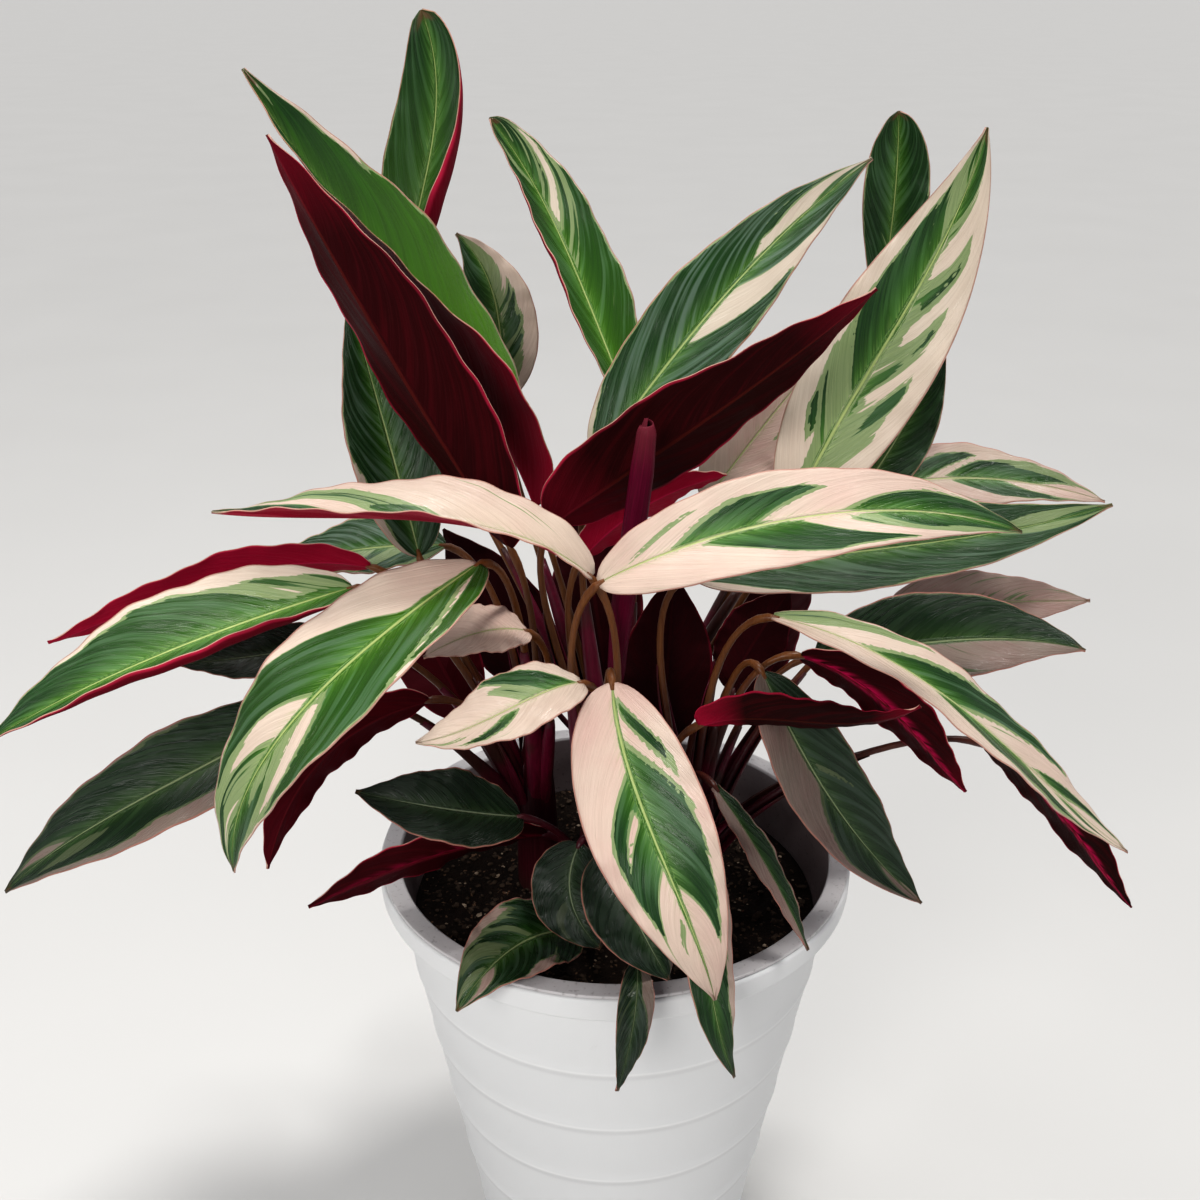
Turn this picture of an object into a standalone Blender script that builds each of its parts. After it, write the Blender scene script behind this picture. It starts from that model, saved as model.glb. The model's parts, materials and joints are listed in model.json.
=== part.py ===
"""A potted stromanthe: a tricolour prayer plant in a tapered white planter with a grey inner pot.

Metres, +Z up. The origin is the middle of the planter's flat base, on the surface that it stands on.
The leaves' places are given in centimetres from that origin: +X right, -Y to the front.
"""

import math
from dataclasses import dataclass

import bmesh
import bpy
from mathutils import Matrix, Vector, noise

CM = 0.01
GAP = 0.0003

# Planter: a tapered shell with a rolled lip and shallow raised rings
SIDES = 36
PLANTER_HEIGHT = 0.339
PLANTER_BASE_RADIUS = 0.084
PLANTER_TOP_RADIUS = 0.1435
PLANTER_LIP_RADIUS = 0.1503
PLANTER_LIP_DEPTH = 0.016
PLANTER_WALL = 0.003
PLANTER_FLOOR = 0.004
RING_PITCH = 0.0515
RING_TOP = 0.269
RING_COUNT = 5
RING_RISE = 0.0008

# Inner pot: hangs in the planter by its flange, with drain holes in its floor
LINER_WALL = 0.0022
LINER_CLEARANCE = 0.0015
LINER_FLOOR_Z = 0.020
FLANGE_OUTER_RADIUS = 0.1488
FLANGE_THICKNESS = 0.0018
DRAIN_HOLES = 5
DRAIN_RADIUS = 0.005
DRAIN_CIRCLE = 0.045

# Soil
SOIL_TOP = 0.300
SOIL_UNEVENNESS = 0.004
STEM_HOLE_DEPTH = 0.030

# Leaf blades and petioles
BLADE_THICKNESS = 0.0010
RIB_THICKNESS = 0.0022
BASE_HALF_WIDTH = 0.0030
TIP_HALF_WIDTH = 0.0009
COLUMNS = 4
ROWS = 7
SMALL_LEAF = 0.11
SMALL_ROWS = 5
PETIOLE_ROOT_RADIUS = 0.0034
PETIOLE_TOP_RADIUS = 0.0020
PETIOLE_RESOLUTION = 1
PETIOLE_STEPS = 6
SHEATH_SHARE = 0.6
SHEATH_RISE = 0.0045
STEM_RADIUS = 0.0135
STEM_RESOLUTION = 3
SPEAR_RESOLUTION = 2

COLOURS = {
    "planter": ((0.80, 0.80, 0.79), 0.45, 0.0),
    "liner": ((0.45, 0.44, 0.45), 0.35, 0.2),
    "soil": ((0.018, 0.013, 0.011), 0.95, 0.0),
    "green_leaf": ((0.05, 0.17, 0.05), 0.35, 0.0),
    "maroon_leaf": ((0.15, 0.01, 0.04), 0.35, 0.0),
    "stem": ((0.20, 0.06, 0.05), 0.45, 0.0),
    "spear": ((0.22, 0.01, 0.08), 0.35, 0.0),
}


@dataclass
class Leaf:
    """One leaf. rib runs from the petiole to the tip; face is where the upper side looks, as (azimuth,
    elevation) in degrees, and face_tip where it looks at the tip; fold raises the halves like a V."""

    name: str
    shoot: str
    width: float
    rib: tuple
    face: tuple
    face_tip: tuple = None
    fold: float = 14
    belly: float = 0.42
    wave: float = 0.16
    waves: float = 3.0
    tint: str = "green_leaf"


# Shoots: where each stands in the soil
SHOOTS = {
    "left": (-5.0, 1.0),
    "front": (-1.0, -4.5),
    "centre": (0.0, 1.0),
    "right": (5.0, -1.5),
    "back": (2.0, 5.5),
}

LEAVES = (
    Leaf("tall_back_left", "centre", 5.6,
         ((-11.9, 9, 60), (-12.3, 12, 71), (-10.7, 13, 78.8), (-11.4, 13, 83.2)),
         (-150, 10), (-80, 15), fold=20, belly=0.55),
    Leaf("arching_upper_left", "centre", 10.4,
         ((-4.8, 3, 56.1), (-10.6, 2.5, 67.2), (-15.1, 1, 74), (-18.8, -1, 80.9)),
         (25, 42), (-62, 54), fold=40),
    Leaf("maroon_upper_left", "left", 7.8,
         ((-6.1, -1, 55), (-11.2, -2, 64.7), (-14.9, -3, 72.6), (-17.2, -4, 78.1)),
         (60, 20), fold=26, tint="maroon_leaf"),
    Leaf("pale_behind_left", "centre", 5.0,
         ((-7.3, 11, 60.3), (-7.3, 12.5, 64.1), (-8, 13.5, 67.3), (-10, 14, 70.2)), (-80, 40)),
    Leaf("upright_centre", "centre", 6.0,
         ((0.8, 8, 61), (-2, 11, 67.3), (-5, 13, 73.3), (-7.5, 12, 77.3)), (-50, 25), fold=25),
    Leaf("upright_right", "centre", 6.2,
         ((-1.2, 3, 59), (4.9, 6, 66.3), (10.2, 8, 71.6), (14.7, 8, 75.5)), (-95, 45)),
    Leaf("upright_behind_right", "back", 4.5, ((16.7, 14, 63.7), (17.8, 16, 71.3), (17.4, 15, 77.4)),
         (-95, 15), fold=22, belly=0.65),
    Leaf("big_cream_right", "back", 7.2,
         ((10.6, 3, 55.5), (14.9, 4, 64.4), (18.2, 4, 71.3), (19.8, 3, 77.7)), (-98, 30)),
    Leaf("maroon_right", "centre", 7.0,
         ((-3.6, -1, 56.6), (1.2, -2, 60.4), (6.3, -3, 64.5), (13.2, -4, 70.6)), (95, 35), belly=0.32,
         tint="maroon_leaf"),
    Leaf("crimson_centre", "centre", 4.6, ((-2, 1.6, 53.4), (1.6, 2.6, 56.2), (6.6, 3, 58.1)),
         (90, 40), tint="maroon_leaf"),
    Leaf("left_upright", "left", 5.6, ((-11.7, 1, 53.7), (-13.5, 3, 60.8), (-15.3, 4, 68.2)), (-60, 10)),
    Leaf("long_left_cream", "front", 5.6,
         ((-1.4, -7, 55.8), (-6, -8, 58.8), (-11.6, -9, 60), (-20.7, -9, 60.3)),
         (-90, 68), (90, 80), fold=38),
    Leaf("long_right", "front", 5.4, ((-1, -8, 55.9), (4.9, -9, 58.9), (11.8, -9, 60.3), (21, -8, 58.8)),
         (-90, 45)),
    Leaf("under_right", "right", 5.6,
         ((4.3, -1, 53.3), (13.7, 0, 54.3), (21.2, 0, 55.4), (28.6, 0, 57.3)), (-90, 50)),
    Leaf("pink_behind_right", "back", 5.0, ((13.7, 8, 54.6), (22, 9, 55.7), (31.2, 8, 54.5)), (-90, 55)),
    Leaf("dark_behind_right", "back", 4.4, ((14.9, 7, 54.6), (18.2, 9, 59.2), (20.5, 10, 64)), (-100, 20)),
    Leaf("folded_right", "right", 6.6,
         ((12.5, 2.5, 46.3), (19.6, 2.5, 47.2), (25.6, 2, 47.6), (28.8, 1, 47.4)), (-80, 50), fold=20),
    Leaf("tan_right", "right", 4.5, ((17.9, 7, 47.4), (25.3, 8, 47.4), (30.9, 7, 48)), (-80, 50)),
    Leaf("long_drooping_right", "right", 4.6,
         ((8.7, -5, 52.5), (15.3, -7, 50.6), (22.4, -7, 45), (30.5, -6, 37.5)),
         (-80, 82), (-60, 50), fold=18),
    Leaf("magenta_low_right", "right", 3.4,
         ((22.8, -1, 41.9), (26.6, -1, 38.6), (30, -1, 34.5), (33.7, -1, 29.7)),
         (60, 20), tint="maroon_leaf"),
    Leaf("magenta_droop_right", "right", 4.4,
         ((10.7, -3, 49.1), (14.2, -3, 47.3), (17.9, -3, 43.8), (21.3, -3, 39.8)),
         (65, 25), tint="maroon_leaf"),
    Leaf("rolled_burgundy", "right", 3.4,
         ((4.5, -9, 47.9), (7.6, -10, 48.9), (12, -10, 48.6), (16.2, -10, 49.6)),
         (90, 30), belly=0.3, wave=0.1, tint="maroon_leaf"),
    Leaf("drooping_pink_right", "right", 5.3,
         ((8.3, -5, 49), (10, -6.5, 45.8), (13.3, -7, 40.4), (18.3, -7, 34.5)), (-70, 30), fold=20),
    Leaf("small_cream_centre", "front", 4.2,
         ((-1.9, -10, 51), (-4.4, -12, 51.2), (-7, -13, 50.3), (-10.3, -14, 49.7)), (-90, 65)),
    Leaf("centre_front", "front", 6.6,
         ((-0.3, -10.4, 51.2), (0.5, -13.5, 48), (1.9, -16, 45), (5, -18.5, 37)), (-95, 40)),
    Leaf("dark_low_a", "front", 4.6, ((-2.1, -7, 38.8), (-2.7, -8.8, 37), (-0.9, -10.6, 34)), (-110, 45)),
    Leaf("dark_low_b", "front", 5.2, ((-0.6, -10.5, 40.6), (0.8, -13.2, 38.6), (2.8, -15, 35.4)), (-80, 50)),
    Leaf("lower_left_rim", "front", 5.4, ((-2.3, -7.6, 32.8), (-5.1, -10.6, 34.6), (-8.7, -16, 34.1)),
         (-100, 60)),
    Leaf("maroon_low_left", "front", 4.0, ((-4.3, -3.4, 37), (-9.7, -6.6, 38), (-17.4, -11, 37.2)), (60, 10),
         tint="maroon_leaf"),
    Leaf("dark_left", "front", 5.0, ((-5.5, -7, 40.6), (-9.9, -9, 42.5), (-14.6, -9, 43.6)), (-100, 60)),
    Leaf("big_front_left", "left", 7.1,
         ((-7.3, -8, 57), (-11.2, -12, 55.4), (-15.5, -14, 52), (-20.4, -14, 41.8)), (-100, 75), (-120, 30)),
    Leaf("long_left", "left", 7.2,
         ((-15, -3, 53.4), (-20.5, -7, 53), (-25.7, -10, 51.9), (-33, -12, 48.6)), (-90, 70), fold=27),
    Leaf("red_band_left", "left", 3.4,
         ((-14.8, 2, 52.6), (-19.5, 1, 53.2), (-25.3, -2, 52.7), (-32, -5, 50.9)),
         (90, 25), tint="maroon_leaf"),
    Leaf("grey_behind_left", "left", 4.5, ((-10.7, 6, 52.3), (-17.4, 6, 51.8), (-22, 5, 51)), (-90, 60)),
    Leaf("left_lower", "left", 6.4,
         ((-17.6, -3.6, 46.4), (-22.4, -8, 45.1), (-27.8, -11, 43.2), (-33.8, -12, 39)), (-95, 60)),
    Leaf("dark_under_left", "left", 4.0, ((-16, -1, 49), (-21.3, -3, 49), (-25.3, -4, 49)), (-90, 60)),
    Leaf("maroon_behind_front", "left", 4.6, ((-11.2, -2, 45.6), (-16.8, -4.5, 43.6), (-20.6, -7, 37)),
         (120, 20), tint="maroon_leaf"),
    Leaf("small_cream_left", "left", 3.5, ((-5, -5, 51.6), (-7.5, -7, 52.5), (-10.5, -8, 51.5)), (-90, 60)),
    Leaf("narrow_over_rim", "front", 2.0, ((1.1, -13.6, 35.6), (1, -16.4, 35.2), (0, -17.6, 30)), (-90, 10)),
    Leaf("green_over_rim", "right", 3.2,
         ((4.1, -8.6, 42.8), (4.6, -12.6, 38.6), (5, -16.2, 35.7), (6.4, -17, 30.4)), (-70, 30)),
    Leaf("narrow_right", "right", 1.8, ((5.6, -7.4, 42.9), (7.6, -9.6, 40.7), (10.8, -12, 35)), (-60, 50)),
    Leaf("dark_inside_right", "right", 3.2, ((6.6, -3.6, 39.6), (8.4, -5, 37.4), (9.8, -7, 34.5)), (60, 60)),
    Leaf("pale_pink", "back", 4.6, ((5.6, 6, 55.2), (9.6, 8, 60), (12.8, 9, 63.8)), (-90, 30)),
    Leaf("inner_magenta", "centre", 5.8, ((2.7, -0.6, 42), (3.2, 0.4, 47), (3.4, 0.9, 52.5)),
         (90, 0), tint="maroon_leaf"),
    Leaf("inner_brown", "right", 4.6, ((7.2, 1.4, 45), (8.8, 2.2, 47.8), (10.8, 3, 50.6)),
         (90, 0), tint="maroon_leaf"),
    Leaf("back_left", "left", 5.6, ((-9.5, 4, 41), (-12.2, 6.2, 45.5), (-15.2, 8.5, 49.5)), (120, 25)),
    Leaf("back_high", "back", 6.0, ((1, 13, 55), (3, 19, 61), (5, 27, 60)), (80, 60)),
    Leaf("back_right", "back", 6.0, ((6, 12, 50), (12, 18, 53), (18, 25, 47)), (50, 55)),
    Leaf("back_low_left", "back", 6.5, ((-5, 8, 41), (-8.2, 9.6, 46.5), (-11.5, 12, 51)), (110, 30)),
    Leaf("back_low", "back", 6.5, ((-0.5, 8.5, 41), (-1.5, 11, 47.5), (-3, 15, 53)), (90, 30)),
    Leaf("back_low_right", "back", 6.5, ((8, 7.5, 41), (11.5, 10.5, 46.5), (16, 14, 50)), (70, 30)),
)

# A new leaf, still rolled into a spear
SPEAR = Leaf("spear", "front", 1.3, ((0, -4, 47.4), (0.4, -5, 53.5), (1, -5, 58.3), (1.6, -5, 64.1)), (-90, 0))
SPEAR_SHAPE = ((0, 0.45), (0.10, 0.80), (0.40, 1), (0.80, 0.98), (0.94, 0.80), (1, 0.30))


def clear_scene():
    for old in list(bpy.data.objects):
        bpy.data.objects.remove(old)


def finish(name, material, shade_angle=math.radians(40)):
    """Gives the named object its own Principled material and smooth shading."""
    obj = bpy.data.objects[name]
    colour, roughness, metallic = COLOURS[material]
    own = bpy.data.materials.new(name)
    own.use_nodes = True
    shader = own.node_tree.nodes["Principled BSDF"]
    shader.inputs["Base Color"].default_value = (*colour, 1)
    shader.inputs["Roughness"].default_value = roughness
    shader.inputs["Metallic"].default_value = metallic
    obj.data.materials.clear()
    obj.data.materials.append(own)
    obj.data.shade_smooth()
    obj.data.set_sharp_from_angle(angle=shade_angle)
    return obj


def add_object(name, bm):
    mesh = bpy.data.meshes.new(name)
    bm.to_mesh(mesh)
    bm.free()
    obj = bpy.data.objects.new(name, mesh)
    bpy.context.scene.collection.objects.link(obj)
    return obj


def turned(profile, closed):
    """Spins a profile of (radius, height) points about Z. A closed one makes a wall with an open middle."""
    bm = bmesh.new()
    points = [bm.verts.new((radius, 0, height)) for radius, height in profile]
    pairs = list(zip(points, points[1:]))
    if closed:
        pairs.append((points[-1], points[0]))
    edges = [bm.edges.new(pair) for pair in pairs]
    bmesh.ops.spin(bm, geom=points + edges, cent=(0, 0, 0), axis=(0, 0, 1), angle=math.tau,
                   steps=SIDES, use_merge=True)
    bmesh.ops.remove_doubles(bm, verts=bm.verts, dist=1e-6)
    bmesh.ops.recalc_face_normals(bm, faces=bm.faces)
    return bm


def cut(obj, cutters):
    """Cuts each cutter out of the object, one Boolean after another, and removes them."""
    for cutter in cutters:
        boolean = obj.modifiers.new("cut", "BOOLEAN")
        boolean.operation = "DIFFERENCE"
        boolean.object = cutter
        apply_modifiers(obj)
        bpy.data.objects.remove(cutter)


def apply_modifiers(obj):
    graph = bpy.context.evaluated_depsgraph_get()
    mesh = bpy.data.meshes.new_from_object(obj.evaluated_get(graph))
    old = obj.data
    obj.modifiers.clear()
    obj.data = mesh
    bpy.data.meshes.remove(old)


def cylinder(name, x, y, low, high, radius, sides):
    bm = bmesh.new()
    bmesh.ops.create_cone(bm, cap_ends=True, segments=sides, radius1=radius, radius2=radius, depth=high - low,
                          matrix=Matrix.Translation((x, y, (low + high) / 2)))
    return add_object(name, bm)


def planter_radius(height):
    """The plain taper of the planter's wall."""
    return PLANTER_BASE_RADIUS + (PLANTER_TOP_RADIUS - PLANTER_BASE_RADIUS) * height / PLANTER_HEIGHT


def planter():
    outside = [(0, 0), (PLANTER_BASE_RADIUS - 0.002, 0), (PLANTER_BASE_RADIUS, 0.002)]
    lowest = RING_TOP - (RING_COUNT - 1) * RING_PITCH
    for ring in range(RING_COUNT):
        height = lowest + ring * RING_PITCH
        hollow = height - RING_PITCH / 2
        outside.append((planter_radius(hollow), hollow))
        outside.append((planter_radius(height) + RING_RISE, height))
    lip_low = PLANTER_HEIGHT - PLANTER_LIP_DEPTH
    lip_turn = 0.003
    outside += [
        (planter_radius(lip_low), lip_low),
        (PLANTER_LIP_RADIUS - 0.001, lip_low + 0.001),
        (PLANTER_LIP_RADIUS, lip_low + lip_turn),
        (PLANTER_LIP_RADIUS, PLANTER_HEIGHT - lip_turn),
        (PLANTER_LIP_RADIUS - lip_turn / 2, PLANTER_HEIGHT),
    ]
    inside = [
        (planter_radius(PLANTER_HEIGHT) + 0.001, PLANTER_HEIGHT),
        (planter_radius(lip_low) - PLANTER_WALL, lip_low),
        (planter_radius(PLANTER_FLOOR) - PLANTER_WALL, PLANTER_FLOOR),
        (0, PLANTER_FLOOR),
    ]
    add_object("planter", turned(outside + inside, closed=False))
    finish("planter", "planter")


def liner_radius(height):
    """The inner pot's outside."""
    return planter_radius(height) - PLANTER_WALL - LINER_CLEARANCE


def liner():
    flange_low = PLANTER_HEIGHT + GAP
    flange_top = flange_low + FLANGE_THICKNESS
    neck = flange_low - 0.02
    outside = [
        (0, LINER_FLOOR_Z),
        (liner_radius(LINER_FLOOR_Z), LINER_FLOOR_Z),
        (liner_radius(neck), neck),
        (liner_radius(flange_low), flange_low),
        (FLANGE_OUTER_RADIUS, flange_low),
        (FLANGE_OUTER_RADIUS, flange_top - 0.0006),
        (FLANGE_OUTER_RADIUS - 0.0008, flange_top),
    ]
    floor_top = LINER_FLOOR_Z + LINER_WALL
    inside = [
        (liner_radius(flange_low) - LINER_WALL + 0.001, flange_top),
        (liner_radius(flange_low) - LINER_WALL, flange_top - 0.0006),
        (liner_radius(neck) - LINER_WALL, neck),
        (liner_radius(floor_top) - LINER_WALL, floor_top),
        (0, floor_top),
    ]
    obj = add_object("liner", turned(outside + inside, closed=False))
    holes = []
    for number in range(DRAIN_HOLES):
        angle = math.tau * number / DRAIN_HOLES
        x, y = DRAIN_CIRCLE * math.cos(angle), DRAIN_CIRCLE * math.sin(angle)
        holes.append(cylinder("drain", x, y, LINER_FLOOR_Z - 0.01, floor_top + 0.01, DRAIN_RADIUS, 8))
    cut(obj, holes)
    finish("liner", "liner")


def soil():
    """The potting mix, with its rough top and a plain hole for each shoot."""
    bottom = LINER_FLOOR_Z + LINER_WALL + GAP
    space = LINER_WALL + 0.0006
    profile = [(0, bottom), (liner_radius(bottom) - space, bottom), (liner_radius(SOIL_TOP) - space, SOIL_TOP)]
    rings = 7
    edge = profile[-1][0]
    profile += [(edge * (rings - step) / rings, SOIL_TOP) for step in range(1, rings)]
    profile.append((0, SOIL_TOP))
    bm = turned(profile, closed=False)
    for vert in bm.verts:
        radius = vert.co.xy.length
        if vert.co.z > SOIL_TOP - 1e-4 and radius < edge - 1e-4:
            clods = noise.noise(vert.co * 45) + 0.5 * noise.noise(vert.co * 110)
            vert.co.z += SOIL_UNEVENNESS * clods + 0.004 * (1 - (radius / edge) ** 2)
    obj = add_object("soil", bm)
    cutters = []
    for x, y in SHOOTS.values():
        radius = STEM_RADIUS + 0.0009
        cutters.append(cylinder("hole", x * CM, y * CM, SOIL_TOP - STEM_HOLE_DEPTH, SOIL_TOP + 0.03, radius, 12))
    cut(obj, cutters)
    finish("soil", "soil")


def direction(azimuth, elevation):
    a, e = math.radians(azimuth), math.radians(elevation)
    return Vector((math.cos(e) * math.cos(a), math.cos(e) * math.sin(a), math.sin(e)))


def along(points, t):
    """A smooth curve through the points, which lie at shares of the length between them."""
    lengths = [0.0]
    for a, b in zip(points, points[1:]):
        lengths.append(lengths[-1] + (b - a).length)
    at = [length / lengths[-1] for length in lengths]
    place = Vector((0, 0, 0))
    for i, point in enumerate(points):
        share = 1.0
        for j, other in enumerate(at):
            if j != i:
                share *= (t - other) / (at[i] - other)
        place += point * share
    return place


def rib_frame(leaf, v):
    """The midrib's place, direction and the upper side's normal, at v from 0 at the petiole to 1 at the tip."""
    points = [Vector(point) * CM for point in leaf.rib]
    place = along(points, v)
    tangent = (along(points, v + 0.01) - along(points, v - 0.01)).normalized()
    face = direction(*leaf.face).lerp(direction(*(leaf.face_tip or leaf.face)), v)
    normal = (face - tangent * face.dot(tangent)).normalized()
    return place, tangent, normal


def outline(leaf, v):
    """Half the blade's width: rounded at the base, drawn out to the tip."""
    peak = math.sin(math.pi * v ** (math.log(0.5) / math.log(leaf.belly)))
    power = 0.6 if v < leaf.belly else 0.9
    least = BASE_HALF_WIDTH + (TIP_HALF_WIDTH - BASE_HALF_WIDTH) * v
    return max(least, leaf.width * CM / 2 * max(peak, 0) ** power)


def blade_point(leaf, u, v):
    """The place on the blade at u from -1 to 1 across and v along."""
    place, tangent, normal = rib_frame(leaf, v)
    side = tangent.cross(normal)
    half = outline(leaf, v)
    rise = math.radians(leaf.fold)
    phase = sum(map(ord, leaf.name)) * 0.7 + (1.7 if u > 0 else 0.0)
    ripple = leaf.wave * CM * u * u * math.sin(math.pi * v) * math.sin(math.tau * leaf.waves * v + phase)
    across = half * u * math.cos(rise)
    lift = half * abs(u) * math.sin(rise) * (1.15 - 0.3 * abs(u)) + ripple
    return place + side * across + normal * lift


def blade(leaf):
    """A waved sheet, split alike on both faces, thicker along its midrib."""
    long_leaf = (Vector(leaf.rib[-1]) - Vector(leaf.rib[0])).length * CM > SMALL_LEAF
    bm = bmesh.new()
    bmesh.ops.create_grid(bm, x_segments=COLUMNS, y_segments=ROWS if long_leaf else SMALL_ROWS, size=1)
    bmesh.ops.triangulate(bm, faces=bm.faces)
    middle = []
    for number, vert in enumerate(bm.verts):
        u, v = vert.co.x, (vert.co.y + 1) / 2
        if abs(u) < 0.01:
            middle.append(number)
        vert.co = blade_point(leaf, u, v)
    obj = add_object(leaf.name, bm)
    group = obj.vertex_groups.new(name="midrib")
    group.add(middle, 1, "REPLACE")
    solid = obj.modifiers.new("blade", "SOLIDIFY")
    solid.thickness = RIB_THICKNESS
    solid.offset = 0
    solid.vertex_group = group.name
    solid.thickness_vertex_group = BLADE_THICKNESS / RIB_THICKNESS
    finish(leaf.name, leaf.tint)


def tube(name, points, radii, resolution):
    """A closed round stalk through the points, with a radius at each."""
    curve = bpy.data.curves.new(name, "CURVE")
    curve.dimensions = "3D"
    curve.bevel_depth = 1
    curve.bevel_resolution = resolution
    curve.use_fill_caps = True
    spline = curve.splines.new("POLY")
    spline.points.add(len(points) - 1)
    for spot, point, radius in zip(spline.points, points, radii):
        spot.co = (*point, 1)
        spot.radius = radius
    route = bpy.data.objects.new(name, curve)
    bm = bmesh.new()
    bm.from_mesh(route.to_mesh())
    bpy.data.objects.remove(route)
    bmesh.ops.remove_doubles(bm, verts=bm.verts, dist=1e-6)
    bmesh.ops.recalc_face_normals(bm, faces=bm.faces)
    return add_object(name, bm)


def petiole(leaf):
    """The leaf's stalk: straight up out of its shoot, then curved into the line of the midrib. Its lower part
    is wrapped in a sheath that thins out upwards."""
    place, tangent, _ = rib_frame(leaf, 0)
    x, y = SHOOTS[leaf.shoot]
    root = Vector((x * CM, y * CM, SOIL_TOP + 0.010))
    end = place - tangent * (3 * GAP)
    reach = (end - root).length * 0.35
    handles = root, root + Vector((0, 0, reach)), end - tangent * min(reach, 0.05), end
    points, radii = [], []
    for step in range(PETIOLE_STEPS + 1):
        t = step / PETIOLE_STEPS
        weights = ((1 - t) ** 3, 3 * t * (1 - t) ** 2, 3 * t * t * (1 - t), t ** 3)
        points.append(sum((h * w for h, w in zip(handles, weights)), Vector((0, 0, 0))))
        sheath = SHEATH_RISE * max(0, 1 - t / SHEATH_SHARE) ** 0.8
        radii.append(PETIOLE_ROOT_RADIUS + (PETIOLE_TOP_RADIUS - PETIOLE_ROOT_RADIUS) * t + sheath)
    return tube("petiole", points, radii, PETIOLE_RESOLUTION)


def shoot(name, x, y):
    """A short stem of rolled sheaths, with every petiole that leaves it, as one body."""
    foot = Vector((x * CM, y * CM, SOIL_TOP - STEM_HOLE_DEPTH + GAP))
    heights = (0, 0.040, 0.085, 0.130, 0.160)
    radii = [STEM_RADIUS * share for share in (1, 1, 0.95, 0.7, 0.35)]
    stem = tube(name, [foot + Vector((0, 0, h)) for h in heights], radii, STEM_RESOLUTION)
    stalks = bpy.data.collections.new(name)
    for leaf in (*LEAVES, SPEAR):
        if leaf.shoot == name.removeprefix("shoot_"):
            stalk = petiole(leaf)
            bpy.context.scene.collection.objects.unlink(stalk)
            stalks.objects.link(stalk)
    union = stem.modifiers.new("union", "BOOLEAN")
    union.operation = "UNION"
    union.operand_type = "COLLECTION"
    union.collection = stalks
    bpy.context.scene.collection.children.link(stalks)
    apply_modifiers(stem)
    for stalk in list(stalks.objects):
        bpy.data.objects.remove(stalk)
    bpy.data.collections.remove(stalks)
    finish(name, "stem")


def spear():
    points, radii = [], []
    for v, share in SPEAR_SHAPE:
        points.append(rib_frame(SPEAR, v)[0])
        radii.append(SPEAR.width * CM / 2 * share)
    tube("spear", points, radii, SPEAR_RESOLUTION)
    finish("spear", "spear")


def main():
    clear_scene()
    planter()
    liner()
    soil()
    for leaf in LEAVES:
        blade(leaf)
    spear()
    for name, (x, y) in SHOOTS.items():
        shoot("shoot_" + name, x, y)


main()
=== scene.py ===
"""The looks of a potted stromanthe, a tricolour prayer plant in a tapered white planter with an inner pot.

Metres, +Z up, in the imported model's frame. The leaves' places are in centimetres, as in the part's source.
"""
import json
import math
import random
from dataclasses import dataclass

import bmesh
import bpy
from mathutils import Matrix, Vector, noise

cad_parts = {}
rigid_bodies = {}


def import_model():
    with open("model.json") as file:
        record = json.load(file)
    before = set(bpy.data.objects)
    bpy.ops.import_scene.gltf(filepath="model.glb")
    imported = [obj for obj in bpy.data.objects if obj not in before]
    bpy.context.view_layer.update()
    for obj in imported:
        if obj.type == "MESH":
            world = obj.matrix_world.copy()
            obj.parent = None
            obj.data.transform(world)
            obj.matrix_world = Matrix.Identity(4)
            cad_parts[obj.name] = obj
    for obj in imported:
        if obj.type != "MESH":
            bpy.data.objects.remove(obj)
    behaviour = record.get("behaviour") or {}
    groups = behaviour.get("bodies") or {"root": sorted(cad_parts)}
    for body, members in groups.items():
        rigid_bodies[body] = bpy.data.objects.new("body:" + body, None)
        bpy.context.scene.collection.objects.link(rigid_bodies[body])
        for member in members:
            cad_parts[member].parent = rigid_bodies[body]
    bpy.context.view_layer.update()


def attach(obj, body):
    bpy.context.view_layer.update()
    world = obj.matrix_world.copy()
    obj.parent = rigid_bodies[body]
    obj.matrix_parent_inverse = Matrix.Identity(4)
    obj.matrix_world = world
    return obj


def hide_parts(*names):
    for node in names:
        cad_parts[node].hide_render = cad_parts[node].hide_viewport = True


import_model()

CM = 0.01

# Planter, inner pot and soil, as in the part's source
PLANTER_HEIGHT = 0.339
PLANTER_BASE_RADIUS = 0.084
PLANTER_TOP_RADIUS = 0.1435
PLANTER_LIP_RADIUS = 0.1503
PLANTER_LIP_DEPTH = 0.016
PLANTER_WALL = 0.003
PLANTER_FLOOR = 0.004
RING_PITCH = 0.0515
RING_TOP = 0.269
RING_COUNT = 5
RING_RISE = 0.0009
RING_HALF_WIDTH = 0.0038
WALL_START = 0.004
WALL_STEPS = 150
LINER_WALL = 0.0022
LINER_CLEARANCE = 0.0015
LINER_FLOOR_Z = 0.020
FLANGE_OUTER_RADIUS = 0.1488
FLANGE_THICKNESS = 0.0018
SOIL_TOP = 0.300
GAP = 0.0003
SOIL_CLEARANCE = 0.0006
SOIL_RINGS = 84
CRUMB_COUNT = 1500
TURN_STEPS = 128

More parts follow.
